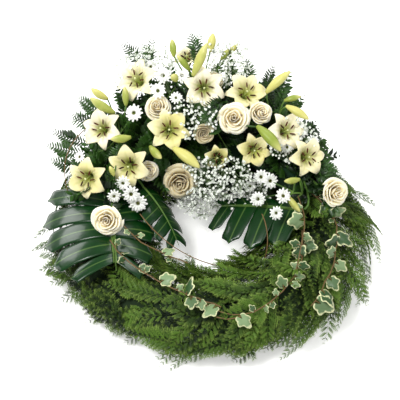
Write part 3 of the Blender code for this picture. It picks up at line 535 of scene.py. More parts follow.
class Grower:
    """Builds the node trees once, and grows pieces with them."""

    SOCKETS = {
        Tree.FROND: {"Shape": "Object", "Finish": "Material", "Spacing": "Float", "Reach": "Float",
                     "Splay": "Float", "Rib": "Float", "Seed": "Int"},
        Tree.SCATTER: {"Shape": "Object", "Finish": "Material"},
        Tree.SWEEP: {"Finish": "Material", "Sides": "Int"},
    }

    def __init__(self) -> None:
        """Builds the trees."""
        self.trees = {kind: self.tree(kind) for kind in Tree}

    def tree(self, kind: Tree) -> bpy.types.NodeTree:
        """Builds one tree, which ends in realised, finished geometry.

        Args:
            kind: What the tree makes.

        Returns:
            The tree, with its inputs named as in SOCKETS.
        """
        tree = bpy.data.node_groups.new(kind.name.lower(), "GeometryNodeTree")
        tree.interface.new_socket("Geometry", in_out="INPUT", socket_type="NodeSocketGeometry")
        for name, socket in self.SOCKETS[kind].items():
            tree.interface.new_socket(name, in_out="INPUT", socket_type="NodeSocket" + socket)
        tree.interface.new_socket("Geometry", in_out="OUTPUT", socket_type="NodeSocketGeometry")
        start = add_node(tree, "NodeGroupInput", {}).outputs
        makers = {Tree.FROND: self.frond, Tree.SCATTER: self.scatter, Tree.SWEEP: self.sweep}
        grown = makers[kind](tree, start)
        real = add_node(tree, "GeometryNodeRealizeInstances", {"Geometry": grown})
        settled = self.settled(tree, real.outputs[0])
        done = add_node(tree, "GeometryNodeSetMaterial", {"Geometry": settled, "Material": start["Finish"]})
        add_node(tree, "NodeGroupOutput", {"Geometry": done.outputs[0]})
        return tree

    def settled(self, tree: bpy.types.NodeTree, grown: bpy.types.NodeSocket) -> bpy.types.NodeSocket:
        """Presses what hangs too low flatter and flatter onto the floor, so that nothing goes through it.

        Args:
            tree: The tree that the nodes go into.
            grown: The socket of the geometry.

        Returns:
            The socket of the pressed geometry.
        """
        spot = add_node(tree, "GeometryNodeInputPosition", {}).outputs[0]
        parts = add_node(tree, "ShaderNodeSeparateXYZ", {0: spot}).outputs
        share = calculated(tree, "MULTIPLY_ADD", parts["Z"], 1 / FLOOR_REST, -1.0)
        height = calculated(tree, "MULTIPLY", calculated(tree, "EXPONENT", share), FLOOR_REST)
        low = calculated(tree, "LESS_THAN", parts["Z"], FLOOR_REST)
        place = add_node(tree, "ShaderNodeCombineXYZ", {"X": parts["X"], "Y": parts["Y"], "Z": height})
        moved = add_node(tree, "GeometryNodeSetPosition",
                         {"Geometry": grown, "Selection": low, "Position": place.outputs[0]})
        return moved.outputs[0]

    def value(self, tree: bpy.types.NodeTree, name: str, kind: str = "FLOAT") -> bpy.types.NodeSocket:
        """The socket that gives one of the points' values."""
        reader = add_node(tree, "GeometryNodeInputNamedAttribute", {"Name": name}, data_type=kind)
        return reader.outputs["Attribute"]

    def scatter(self, tree: bpy.types.NodeTree, start: bpy.types.NodeOutputs) -> bpy.types.NodeSocket:
        """Puts the shape on each point, its length along aim and its face along up.

        Args:
            tree: The tree that the nodes go into.
            start: The tree's inputs.

        Returns:
            The socket of the copies.
        """
        shape = add_node(tree, "GeometryNodeObjectInfo", {"Object": start["Shape"]})
        turn = add_node(tree, "FunctionNodeAxesToRotation",
                        {"Primary Axis": self.value(tree, "aim", "FLOAT_VECTOR"),
                         "Secondary Axis": self.value(tree, "up", "FLOAT_VECTOR")},
                        primary_axis="Y", secondary_axis="Z")
        copies = add_node(tree, "GeometryNodeInstanceOnPoints",
                          {"Points": start["Geometry"], "Instance": shape.outputs["Geometry"],
                           "Rotation": turn.outputs[0], "Scale": self.value(tree, "size")})
        return copies.outputs[0]

    def sweep(self, tree: bpy.types.NodeTree, start: bpy.types.NodeOutputs) -> bpy.types.NodeSocket:
        """Draws a round stem along each line, as thick as the points' size says.

        Args:
            tree: The tree that the nodes go into.
            start: The tree's inputs.

        Returns:
            The socket of the stems.
        """
        lines = add_node(tree, "GeometryNodeMeshToCurve", {"Mesh": start["Geometry"]}).outputs[0]
        return self.tubes(tree, lines, start["Sides"], self.value(tree, "size"))

    def tubes(self, tree: bpy.types.NodeTree, lines: bpy.types.NodeSocket, sides: bpy.types.NodeSocket | int,
              radius: bpy.types.NodeSocket) -> bpy.types.NodeSocket:
        """Draws a closed tube along each line.

        Args:
            tree: The tree that the nodes go into.
            lines: The socket of the lines.
            sides: How many sides the tube has.
            radius: The socket of its radius.

        Returns:
            The socket of the tubes.
        """
        circle = add_node(tree, "GeometryNodeCurvePrimitiveCircle", {"Resolution": sides, "Radius": 1.0})
        tubes = add_node(tree, "GeometryNodeCurveToMesh",
                         {"Curve": lines, "Profile Curve": circle.outputs[0], "Scale": radius,
                          "Fill Caps": True})
        return tubes.outputs[0]

    def chance(self, tree: bpy.types.NodeTree, start: bpy.types.NodeOutputs, low: float,
               high: float) -> bpy.types.NodeSocket:
        """The socket of a random number between two others for each point, from the tree's seed."""
        return add_node(tree, "FunctionNodeRandomValue", {2: low, 3: high, "Seed": start["Seed"]},
                        data_type="FLOAT").outputs[1]

    def frond(self, tree: bpy.types.NodeTree, start: bpy.types.NodeOutputs) -> bpy.types.NodeSocket:
        """Puts the shape in pairs along each line, longest in the middle, with a rib down the line.

        Args:
            tree: The tree that the nodes go into.
            start: The tree's inputs.

        Returns:
            The socket of the fronds.
        """
        lines = add_node(tree, "GeometryNodeMeshToCurve", {"Mesh": start["Geometry"]}).outputs[0]
        even = add_node(tree, "GeometryNodeResampleCurve", {"Curve": lines, "Length": start["Spacing"]},
                        mode="LENGTH")
        shape = add_node(tree, "GeometryNodeObjectInfo", {"Object": start["Shape"]})
        share = add_node(tree, "GeometryNodeSplineParameter", {}).outputs["Factor"]
        ahead = add_node(tree, "GeometryNodeInputTangent", {}).outputs[0]
        up = self.value(tree, "up", "FLOAT_VECTOR")
        side = add_node(tree, "ShaderNodeVectorMath", {0: ahead, 1: up}, operation="CROSS_PRODUCT")
        # A frond is lighter towards its tip
        young = calculated(tree, "MULTIPLY_ADD", share, 0.55, -0.25)
        young = calculated(tree, "ADD", young, self.chance(tree, start, -0.2, 0.2))
        tone = calculated(tree, "ADD", young, self.value(tree, "tone"))
        ribs = add_node(tree, "GeometryNodeStoreNamedAttribute",
                        {"Geometry": even.outputs[0], "Name": "tone", "Value": tone},
                        data_type="FLOAT", domain="POINT")
        swell = calculated(tree, "SINE", calculated(tree, "MULTIPLY_ADD", share, 2.35, 0.62))
        reach = calculated(tree, "MULTIPLY", swell, start["Reach"])
        reach = calculated(tree, "MULTIPLY", reach, self.value(tree, "size"))
        out = calculated(tree, "SINE", start["Splay"])
        along = add_node(tree, "ShaderNodeVectorMath",
                         {0: ahead, "Scale": calculated(tree, "COSINE", start["Splay"])}, operation="SCALE")
        whole = add_node(tree, "GeometryNodeJoinGeometry", {})
        for hand in (-1.0, 1.0):
            aside = add_node(tree, "ShaderNodeVectorMath",
                             {0: side.outputs[0], "Scale": calculated(tree, "MULTIPLY", out, hand)},
                             operation="SCALE")
            aim = add_node(tree, "ShaderNodeVectorMath", {0: along.outputs[0], 1: aside.outputs[0]},
                           operation="ADD")
            turn = add_node(tree, "FunctionNodeAxesToRotation",
                            {"Primary Axis": aim.outputs[0], "Secondary Axis": up},
                            primary_axis="Y", secondary_axis="Z")
            size = calculated(tree, "MULTIPLY", reach, self.chance(tree, start, 0.78, 1.12))
            copies = add_node(tree, "GeometryNodeInstanceOnPoints",
                              {"Points": ribs.outputs[0], "Instance": shape.outputs["Geometry"],
                               "Rotation": turn.outputs[0], "Scale": size})
            tree.links.new(copies.outputs[0], whole.inputs[0])
        thick = calculated(tree, "MULTIPLY", calculated(tree, "MULTIPLY_ADD", share, -0.7, 1.0), start["Rib"])
        tree.links.new(self.tubes(tree, lines, 3, thick), whole.inputs[0])
        return whole.outputs[0]

    def grow(self, kind: Tree, name: str, points: Points, finish: bpy.types.Material,
             shape: bpy.types.Object | None = None, **sizes: float) -> bpy.types.Object:
        """Grows a plain mesh from points.

        Args:
            kind: The tree that grows it.
            name: The object's name.
            points: The points and lines that it grows from.
            finish: Its material.
            shape: The shape that repeats.
            **sizes: The tree's other inputs, by name.

        Returns:
            The object, with a plain mesh and no modifier.
        """
        thing = points.made(name)
        tree = self.trees[kind]
        modifier = thing.modifiers.new("grow", "NODES")
        modifier.node_group = tree
        wanted = {"Finish": finish, "Shape": shape, **sizes}
        for item in tree.interface.items_tree:
            if item.in_out == "INPUT" and item.name in wanted:
                modifier[item.identifier] = wanted[item.name]
        graph = bpy.context.evaluated_depsgraph_get()
        mesh = bpy.data.meshes.new_from_object(thing.evaluated_get(graph))
        thing.modifiers.clear()
        thing.data = mesh
        for spent in ("aim", "up", "size"):
            if spent in mesh.attributes:
                mesh.attributes.remove(mesh.attributes[spent])
        return thing


def joined(name: str, parts: Sequence[bpy.types.Object]) -> bpy.types.Object:
    """Joins plain meshes into one object with all their finishes.

    Args:
        name: The name of the whole.
        parts: The objects.

    Returns:
        The first of the objects, which then holds them all.
    """
    keep = parts[0]
    if len(parts) > 1:
        with bpy.context.temp_override(active_object=keep, selected_editable_objects=list(parts)):
            bpy.ops.object.join()
    keep.name = name
    return keep


def shown(piece: bpy.types.Object, node: str) -> None:
    """Hands a finished piece to the frame.

    Args:
        piece: The object.
        node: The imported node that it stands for, or a name of its own for a piece that is added.
    """
    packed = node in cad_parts
    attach(piece, "root")
    if packed:
        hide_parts(node)
    log.info("%s: %d faces, %s", piece.name, len(piece.data.polygons), "for " + node if packed else "added")


# Finishes


def linear(colour: str) -> tuple[float, float, float, float]:
    """An sRGB hex colour as linear light."""
    parts = [int(colour[k:k + 2], 16) / 255 for k in (1, 3, 5)]
    return (*[part / 12.92 if part <= 0.04045 else ((part + 0.055) / 1.055) ** 2.4 for part in parts], 1.0)


@dataclass(frozen=True)
class Finish:
    """A plant's surface: its colours by tone and along its blades, its gloss and its grain.

    Attributes:
        name: The material's name.
        dark: The colour of its darkest blades.
        light: The colour of its lightest blades.
        tip: The colour towards the blades' tips.
        tip_from: The share along at which the tip's colour starts.
        roughness: The roughness of the surface.
        grain: The size of its grain, in metres.
        relief: The height of its grain, in metres.
        coat: The weight of its wax.
        sheen: The weight of its down.
        glow: The weight of the light that passes through it.
        shine: The strength of its reflections.
    """

    name: str
    dark: str
    light: str
    tip: str
    tip_from: float = 0.5
    roughness: float = 0.5
    grain: float = 0.002
    relief: float = 0.0002
    coat: float = 0.0
    sheen: float = 0.0
    glow: float = 0.0
    shine: float = 0.35

    def value(self, tree: bpy.types.NodeTree, name: str) -> bpy.types.NodeSocket:
        """The socket that gives one of the mesh's values."""
        return add_node(tree, "ShaderNodeAttribute", {}, attribute_name=name).outputs["Fac"]

    def noise(self, tree: bpy.types.NodeTree, size: float, detail: float = 3.0) -> bpy.types.NodeSocket:
        """The socket of a noise on object coordinates, with lumps of a real size."""
        links = {"Vector": add_node(tree, "ShaderNodeTexCoord", {}).outputs["Object"], "Scale": 1 / size,
                 "Detail": detail}
        return add_node(tree, "ShaderNodeTexNoise", links).outputs[0]

    def mixed(self, tree: bpy.types.NodeTree, share: bpy.types.NodeSocket | float,
              first: bpy.types.NodeSocket | tuple,
              second: bpy.types.NodeSocket | tuple) -> bpy.types.NodeSocket:
        """The socket of a mix of two colours."""
        return add_node(tree, "ShaderNodeMix", {0: share, 6: first, 7: second}, data_type="RGBA").outputs[2]

    def between(self, tree: bpy.types.NodeTree, value: bpy.types.NodeSocket, low: float,
                high: float) -> bpy.types.NodeSocket:
        """The socket that rises smoothly from 0 to 1 as a value goes from low to high."""
        links = {"Value": value, "From Min": low, "From Max": high}
        return add_node(tree, "ShaderNodeMapRange", links, interpolation_type="SMOOTHSTEP").outputs[0]

    def colour(self, tree: bpy.types.NodeTree) -> bpy.types.NodeSocket:
        """Draws the surface's colour: from dark to light by tone, and to the tip's colour.

        Args:
            tree: The material's tree.

        Returns:
            The colour's socket.
        """
        mottle = calculated(tree, "MULTIPLY_ADD", self.noise(tree, self.grain * 6), 0.5, -0.25)
        tone = calculated(tree, "ADD", self.value(tree, "tone"), mottle)
        body = self.mixed(tree, self.between(tree, tone, 0.0, 1.0), linear(self.dark), linear(self.light))
        tip = self.between(tree, self.value(tree, "along"), self.tip_from, 1.1)
        return self.mixed(tree, tip, body, linear(self.tip))

    def height(self, tree: bpy.types.NodeTree) -> bpy.types.NodeSocket:
        """The socket of the surface's relief."""
        return self.noise(tree, self.grain)

    def material(self) -> bpy.types.Material:
        """Makes the material.

        Returns:
            The material.
        """
        made = bpy.data.materials.new(self.name)
        made.use_nodes = True
        tree = made.node_tree
        tree.nodes.clear()
        bump = add_node(tree, "ShaderNodeBump", {"Height": self.height(tree), "Distance": self.relief,
                                                  "Strength": 1.0})
        shader = add_node(tree, "ShaderNodeBsdfPrincipled", {
            "Base Color": self.colour(tree), "Roughness": self.roughness, "Metallic": 0.0, "IOR": 1.45,
            "Coat Weight": self.coat, "Coat Roughness": 0.12, "Sheen Weight": self.sheen,
            "Subsurface Weight": self.glow, "Subsurface Scale": 0.002, "Subsurface Radius": (1.0, 0.9, 0.6),
            "Specular IOR Level": self.shine, "Normal": bump.outputs[0],
        })
        add_node(tree, "ShaderNodeOutputMaterial", {"Surface": shader.outputs[0]})
        return made


# A lily's yellowest tepals and the midribs of all, and the veins of a monstera leaf
LILY_YELLOW = "#D3CB7C"
LILY_RIB = "#B4BA5E"
MONSTERA_VEIN = "#6F8F48"


class LilyFinish(Finish):
    """A lily's tepal: green in the throat and midrib, cream to white further out, yellower by tone."""

    def colour(self, tree: bpy.types.NodeTree) -> bpy.types.NodeSocket:
        """Draws the tepal's colour.

        Args:
            tree: The material's tree.

        Returns:
            The colour's socket.
        """
        along = self.value(tree, "along")
        side = calculated(tree, "ABSOLUTE", self.value(tree, "across"))
        blade = self.mixed(tree, self.value(tree, "tone"), linear(self.light), linear(LILY_YELLOW))
        body = self.mixed(tree, self.between(tree, along, 0.14, 0.66), linear(self.dark), blade)
        rib = calculated(tree, "MULTIPLY", self.between(tree, side, 0.26, 0.0),
                         self.between(tree, along, 1.0, 0.35))
        body = self.mixed(tree, calculated(tree, "MULTIPLY", rib, 0.6), body, linear(LILY_RIB))
        return self.mixed(tree, self.between(tree, along, self.tip_from, 1.15), body, linear(self.tip))


class RoseFinish(Finish):
    """A rose petal: deeper cream towards the heart, with a pale rim."""

    def colour(self, tree: bpy.types.NodeTree) -> bpy.types.NodeSocket:
        """Draws the petal's colour.

        Args:
            tree: The material's tree.

        Returns:
            The colour's socket.
        """
        heart = self.between(tree, self.value(tree, "tone"), 0.0, 0.8)
        body = self.mixed(tree, heart, linear(self.dark), linear(self.light))
        return self.mixed(tree, self.between(tree, self.value(tree, "along"), self.tip_from, 1.0), body,
                          linear(self.tip))


class MonsteraFinish(Finish):
    """A monstera leaf: dark and waxy, with pale veins that run from the midrib into each lobe."""

    def colour(self, tree: bpy.types.NodeTree) -> bpy.types.NodeSocket:
        """Draws the leaf's colour.

        Args:
            tree: The material's tree.

        Returns:
            The colour's socket.
        """
        body = super().colour(tree)
        side = calculated(tree, "ABSOLUTE", self.value(tree, "across"))
        vein = self.between(tree, side, 0.10, 0.02)
        midrib = self.between(tree, self.value(tree, "along"), 0.035, 0.012)
        lines = calculated(tree, "MAXIMUM", calculated(tree, "MULTIPLY", vein, 0.35), midrib)
        return self.mixed(tree, lines, body, linear(MONSTERA_VEIN))

    def height(self, tree: bpy.types.NodeTree) -> bpy.types.NodeSocket:
        """Draws the leaf's relief: it sinks at its veins and pleats between them.

        Args:
            tree: The material's tree.

        Returns:
            The relief's socket.
        """
        side = calculated(tree, "ABSOLUTE", self.value(tree, "across"))
        pleat = self.between(tree, side, 0.0, 0.5)
        return calculated(tree, "ADD", pleat, calculated(tree, "MULTIPLY", super().height(tree), 0.15))


class IvyFinish(Finish):
    """A variegated ivy leaf: grey-green in its middle, with an uneven cream margin."""

    def colour(self, tree: bpy.types.NodeTree) -> bpy.types.NodeSocket:
        """Draws the leaf's colour.

        Args:
            tree: The material's tree.

        Returns:
            The colour's socket.
        """
        tone = self.between(tree, self.value(tree, "tone"), 0.0, 1.0)
        body = self.mixed(tree, tone, linear(self.dark), linear(self.light))
        wander = calculated(tree, "MULTIPLY_ADD", self.noise(tree, self.grain * 2), 0.5, -0.25)
        edge = calculated(tree, "ADD", self.value(tree, "across"), wander)
        return self.mixed(tree, self.between(tree, edge, 0.76, 0.98), body, linear(self.tip))


class PaperFinish(Finish):
    """Backdrop paper on a light table: it shines a little of its own, so that shadows hardly grey it."""

    EMISSION = 0.45

    def material(self) -> bpy.types.Material:
        """Makes the material.

        Returns:
            The material.
        """
        made = super().material()
        shader = next(item for item in made.node_tree.nodes if item.type == "BSDF_PRINCIPLED")
        shader.inputs["Emission Color"].default_value = linear(self.light)
        shader.inputs["Emission Strength"].default_value = self.EMISSION
        return made


class Finishes:
    """Every material of the wreath."""

    def __init__(self) -> None:
        """Makes the materials."""
        # Scale-leaved cedar sprays, waxy: many small glints, and young tips of a paler yellow-green
        self.cedar = Finish("cedar_scale_leaves", "#081A03", "#4C6A20", "#71893A", 0.6, 0.6, 0.0012, 0.0003,
                            coat=0.02, shine=0.2).material()
        # Cut monstera, thick wax over a dark blade: broad clear reflections
        self.monstera = MonsteraFinish("waxy_monstera_leaf", "#03200A", "#0C3A0E", "#134616", 0.9, 0.30,
                                       0.004, 0.0006, coat=0.3, shine=0.25).material()
        # Lily tepals, thick and satin: a soft gloss, and a little light comes through them
        self.lily = LilyFinish("satin_lily_tepal", "#949C26", "#EEE6CC", "#F0E9CC", 0.75, 0.45, 0.0016,
                               0.00025, sheen=0.1, glow=0.2).material()
        # Pollen-dusted anthers: dark, with no gloss at all
        self.anther = Finish("pollen_anther", "#260C04", "#4C1E0C", "#54240E", 0.6, 0.9, 0.0008,
                             0.0003).material()
        # Filaments and pistils, pale green and moist
        self.filament = Finish("lily_filament", "#9FB45A", "#C9D38A", "#D8DCA0", 0.5, 0.4).material()
        # Velvety rose petals that light passes through: a soft sheen with no glint, and pale shadows in the
        # folds
        self.rose = RoseFinish("velvet_rose_petal", "#E9D5A2", "#F1E5C2", "#F6EED6", 0.7, 0.62, 0.0012,
                               0.0002, sheen=0.2, glow=0.5).material()
        # The same petals on the roses that have stood longer: beige
        self.old_rose = RoseFinish("beige_rose_petal", "#B9A070", "#D6C69C", "#E2D6B2", 0.7, 0.62, 0.0012,
                                   0.0002, sheen=0.2, glow=0.4).material()
        # Lily buds, smooth, firm and yellow-green: one soft highlight down each
        self.bud = Finish("lily_bud_skin", "#86963A", "#C2BE6C", "#CCC880", 0.6, 0.42, 0.0018, 0.0002,
                          coat=0.06, glow=0.08).material()
        # Cut stems, green and fibrous
        self.stem = Finish("green_stem", "#35551E", "#5E7F35", "#6B8A3C", 0.7, 0.5).material()
        # Chrysanthemum rays, matt white
        self.daisy = Finish("white_ray_petal", "#E7EAE2", "#F7F8F2", "#FBFBF7", 0.5, 0.6, 0.001, 0.0001,
                            sheen=0.1).material()
        # Chrysanthemum eyes, a tight bed of green-brown florets
        self.eye = Finish("daisy_eye", "#4E5A1E", "#8E8A34", "#6C5A24", 0.8, 0.8, 0.0009, 0.0006).material()
        # Gypsophila florets, small crumpled white petals
        self.floret = Finish("gypsophila_floret", "#DDE3D8", "#F6F8F2", "#FBFCF8", 0.5, 0.7).material()
        # Hair-thin gypsophila branches, grey-green
        self.hair = Finish("gypsophila_branch", "#5B7448", "#8FA476", "#9FB184", 0.6, 0.55).material()
        # Leathery filler leaves: dark, with a dull gloss
        self.leaf = Finish("leathery_leaf", "#0B2006", "#2F5418", "#406A22", 0.7, 0.42, 0.002, 0.0003,
                           coat=0.08).material()
        # Variegated ivy, satin
        self.ivy = IvyFinish("variegated_ivy_leaf", "#2C4A26", "#758C62", "#D2D4A4", 0.5, 0.45, 0.0025,
                             0.0003, coat=0.08).material()
        # Woody vines, brown
        self.vine = Finish("woody_vine", "#4A3A22", "#7A5E38", "#6E6A3A", 0.8, 0.6).material()
        # Bound straw under green paper wrap: a matt, creased skin, darkened as painted shade under the fronds
        self.straw = Finish("green_wrapped_straw_painted_shade", "#16280F", "#2E4420", "#2E4420", 0.9, 0.85, 0.006,
                            0.0015).material()
        # Wet floral foam, with open, crumbling cells: dark and dull
        self.foam = Finish("wet_floral_foam", "#12301A", "#1F4A28", "#1F4A28", 0.9, 0.95, 0.0015,
                           0.0006).material()


# Repeated shapes


def comb_shape(teeth: int = 5) -> bpy.types.Object:
    """Makes a flat cedar branchlet of unit length along +Y: an axis with scale-leaved twigs to both sides.

    Args:
        teeth: How many twigs each side has.

    Returns:
        The branchlet.
    """
    shell = Shell()
    up = Vector((0.0, 0.0, 0.045))
    shell.kite(Vector((0.0, 0.0, 0.0)), Vector((0.0, 1.0, 0.0)), Vector((0.042, 0.0, 0.0)), up, 0.3)
    for k in range(teeth):
        for hand in (-1.0, 1.0):
            y = 0.10 + 0.74 * (k + 0.25 * (1 + hand)) / teeth
            length = 0.34 * (1.0 - 0.55 * y) * (0.60 + 0.7 * min(1.0, y * 3))
            root = Vector((0.0, y, 0.0))
            ahead = Vector((hand * 0.56, 0.83, 0.0))
            tip = root + ahead * length - up * 1.6
            shell.kite(root, tip, Vector((0.83, -hand * 0.56, 0.0)) * 0.042 * (1.2 - 0.5 * y), up)
    for k, point in enumerate(shell.points):
        shell.values[k] = (min(1.0, point.y + abs(point.x) * 0.8), shell.values[k][1], 0.5)
    return shell.made("cedar_branchlet", smooth=False)


def leaf_shape(name: str, half_width: float, droop: float, rows: int = 4) -> bpy.types.Object:
    """Makes a plain pointed leaf of unit length along +Y, folded a little at its midrib.

    Args:
        name: The shape's name.
        half_width: Half its width.
        droop: How far its tip hangs down.
        rows: How many faces it has along.

    Returns:
        The leaf.
    """
    shell = Shell()

    def surface(u: float, v: float) -> Vector:
        """The leaf's point at a share along and across."""
        out = half_width * math.sin(math.pi * (0.04 + 0.93 * u) ** 0.85) * v
        return Vector((out, u, abs(v) * half_width * 0.35 - droop * u * u))

    shell.blade(surface, rows, 2, 0.012)
    return shell.made(name)


def floret_shape() -> bpy.types.Object:
    """Makes a double gypsophila floret of unit radius: two whorls of pointed petals.

    Returns:
        The floret, which opens along +Y.
    """
    shell = Shell()
    for whorl, (count, rise, reach) in enumerate(((6, 0.25, 1.0), (4, 0.85, 0.62))):
        for k in range(count):
            turn = 2 * math.pi * (k + 0.5 * whorl) / count
            out = Vector((math.cos(turn), 0.0, math.sin(turn)))
            aside = Vector((math.sin(turn), 0.0, -math.cos(turn)))
            tip = out * reach + Vector((0.0, 0.35 + rise, 0.0))
            shell.kite(Vector((0.0, 0.0, 0.0)), tip, aside * 0.42,
                       Vector((0.0, -0.14, 0.0)) - out * 0.05, 0.66)
    return shell.made("floret", smooth=False)


def ray_shape() -> bpy.types.Object:
    """Makes a daisy's ray petal of unit length along +Y, channelled and blunt.

    Returns:
        The petal.
    """
    shell = Shell()

    def surface(u: float, v: float) -> Vector:
        """The petal's point at a share along and across."""
        out = (0.06 + 0.10 * math.sin(math.pi * (0.10 + 0.75 * u))) * v
        return Vector((out, u, 0.16 * u * (1 - u) + 0.03 * v * v))

    shell.blade(surface, 3, 2, 0.02)
    return shell.made("ray")


def ivy_shape() -> bpy.types.Object:
    """Makes an ivy leaf of unit length along +Y, with five lobes.

    Returns:
        The leaf. Its value across runs from its middle to its margin.
    """
    shell = Shell()
    # The turn, the size and the width of each lobe
    lobes = ((0.0, 1.0, 0.50), (1.12, 0.52, 0.46), (-1.12, 0.52, 0.46), (2.2, 0.22, 0.46), (-2.2, 0.22, 0.46))
    steps = 26

    def reach(turn: float) -> float:
        """How far the margin is from the middle at a turn."""
        lobe = max(size * math.exp(-((turn - angle) / width) ** 2) for angle, size, width in lobes)
        return 0.44 + 0.56 * lobe

    sheets = []
    for side in (1.0, -1.0):
        rings = []
        for share in (0.0, 0.5, 1.0):
            ring = []
            for k in range(steps if share else 1):
                turn = -2.75 + 5.5 * k / (steps - 1)
                out = reach(turn) * share
                fold = 0.05 * math.cos(turn * 3.1) * out - 0.12 * out * out
                spot = Vector((math.sin(turn) * out, 0.12 + math.cos(turn) * out, fold + side * 0.012))
                ring.append(shell.add(spot, share, share, 0.5))
            rings.append(ring)
        sheets.append(rings)
    for rings, turned in zip(sheets, (False, True)):
        centre, middle, rim = rings[0][0], rings[1], rings[2]
        for k in range(steps - 1):
            fans = [(centre, middle[k + 1], middle[k]), (middle[k], middle[k + 1], rim[k + 1], rim[k])]
            for corners in fans:
                shell.face(corners[::-1] if turned else corners)
    top = [sheets[0][0][0], sheets[0][1][0], *sheets[0][2], sheets[0][1][-1]]
    under = [sheets[1][0][0], sheets[1][1][0], *sheets[1][2], sheets[1][1][-1]]
    for k in range(len(top)):
        n = (k + 1) % len(top)
        shell.face((top[k], top[n], under[n], under[k]))
    return shell.made("ivy_leaf")


class Shapes:
    """The shapes that the node trees repeat."""

    def __init__(self) -> None:
        """Makes the shapes."""
        self.comb = comb_shape()
        self.leaf = leaf_shape("broad_leaf", 0.24, 0.18)
        self.needle_leaf = leaf_shape("narrow_leaf", 0.11, 0.12, 3)
        self.floret = floret_shape()
        self.ray = ray_shape()
        self.ivy = ivy_shape()
        # Each copy takes the tone of the point that it stands on
        for shape in vars(self).values():
            shape.data.attributes.remove(shape.data.attributes["tone"])

    def clear(self) -> None:
        """Removes the shapes once everything has grown."""
        for shape in vars(self).values():
            bpy.data.objects.remove(shape)


@dataclass
class Kit:
    """What every maker of a piece uses: the materials, the repeated shapes and the node trees."""

    finishes: Finishes = field(default_factory=Finishes)
    shapes: Shapes = field(default_factory=Shapes)
    grower: Grower = field(default_factory=Grower)


@dataclass
class Piece:
    """A piece of the wreath.

    Attributes:
        kit: What it is made with.
        node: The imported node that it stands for, or a name of its own where it is added.
    """

    kit: Kit
    node: str


# Cedar


FROND_PARTS = 7


@dataclass(frozen=True)
class Row:
    """A row of fronds in a bunch.

    Attributes:
        section: Where on the bed it lies, in degrees.
        drift: How far round the bed its tips drift, in degrees.
        low: Its lift over the bed at its root.
        rise: How much further its tips rise.
        reach: Half its width.
        fronds: How many fronds it has.
        sweep: How far they run round the ring, as a share of the bunch's sweep.
    """

    section: float
    drift: float
    low: float
    rise: float
    reach: float
    fronds: int
    sweep: float = 1.0


@dataclass
class CedarBunch(Piece):
    """A bunch of cedar: flat fronds from one tie that lie over the bed, the tips further round the ring.

    Attributes:
        steps: The numbers of the ties that it starts from.
        rows: Its rows of fronds.
        tone: How light it is.
        outward: How far its outer rows spread, as a share of the full spread.
        sweep: How far its fronds run round the ring, in degrees.
        spacing: From one pair of branchlets to the next.
        splay: The angle at which the branchlets leave their rib.
        rib: The radius of the ribs.
    """

    steps: Sequence[int]
    rows: Sequence[Row]
    tone: float = 0.5
    outward: float = 1.0
    sweep: float = 38.0
    spacing: float = 0.0120
    splay: float = 0.78
    rib: float = 0.0010

    def path(self, chance: random.Random, step: int, row: Row, layer: float) -> list[Vector]:
        """Lays one frond's rib over the bed.

        Args:
            chance: The bunch's random numbers.
            step: The number of the tie that it starts from.
            row: Its row.
            layer: How high it lies among the others, 0 to 1.

        Returns:
            The rib's points.
        """
        start = math.radians(FIRST_BUNCH + BUNCH_STEP * step + chance.uniform(-9.0, 9.0))
        sweep = math.radians(self.sweep) * chance.uniform(0.45, 1.0) * row.sweep
        section = math.radians(row.section + chance.uniform(-13.0, 13.0))
        drift = math.radians(row.drift * chance.uniform(0.6, 1.3) + chance.uniform(-22.0, 22.0))
        rise = row.rise * (0.35 + 0.80 * layer) * (self.outward if row.section > 90.0 else 1.0)
        low = row.low + (0.016 * layer - 0.004) * max(self.outward, 0.4)
        bend = chance.uniform(-0.24, 0.24)
        path = []
        for k in range(FROND_PARTS + 1):
            t = k / FROND_PARTS
            lie = section + drift * t * t + bend * math.sin(math.pi * t)
            path.append(bed_point(start + sweep * t, lie, low + rise * t * (0.45 + 0.55 * t)))
        return path

    def frond(self, points: Points, path: Sequence[Vector], reach: float, tone: float,
              chance: random.Random) -> None:
        """Adds a frond, its upper side turned off the ring and a little to one hand.

        Args:
            points: The points and lines that the bunch grows from.
            path: The frond's rib.
            reach: Half its width.
            tone: How light it is.
            chance: The bunch's random numbers.
        """
        hand = chance.uniform(-0.55, 0.55)
        ups = []
        for k, point in enumerate(path):
            ahead = (path[min(k + 1, len(path) - 1)] - path[max(k - 1, 0)]).normalized()
            up = (point - ring_point(bearing_of(point), 0.0, BED_MIDDLE - 0.05)).normalized()
            ups.append((up + ahead.cross(up) * hand).normalized())
        points.line(path, ups, [reach] * len(path), min(1.0, max(0.0, tone)))

    def build(self) -> bpy.types.Object:
        """Grows the bunch, with the sprays that the photograph shows by themselves, and hands it over.

        Returns:
            The piece.
        """
        chance = random.Random(self.node)
        points = Points()
        for step in self.steps:
            for row in self.rows:
                for _ in range(row.fronds):
                    layer = chance.random()
                    reach = row.reach * chance.uniform(0.75, 1.10)
                    # Painted shade: what lies deeper gets a darker tone, for the shade under the others
                    tone = self.tone + 0.9 * (layer - 0.5) + chance.gauss(0.0, 0.15)
                    self.frond(points, self.path(chance, step, row, layer), reach, tone, chance)
        for tone, reach, *stops in DRAPES.get(self.node, ()):
            path = curve([height_at(*stop) for stop in stops], FROND_PARTS)
            self.frond(points, path, reach, tone, chance)
        piece = self.kit.grower.grow(
            Tree.FROND, "fine_" + self.node, points, self.kit.finishes.cedar, self.kit.shapes.comb,
            Spacing=self.spacing, Reach=1.0, Splay=self.splay, Rib=self.rib, Seed=len(self.node))
        shown(piece, self.node)
        return piece


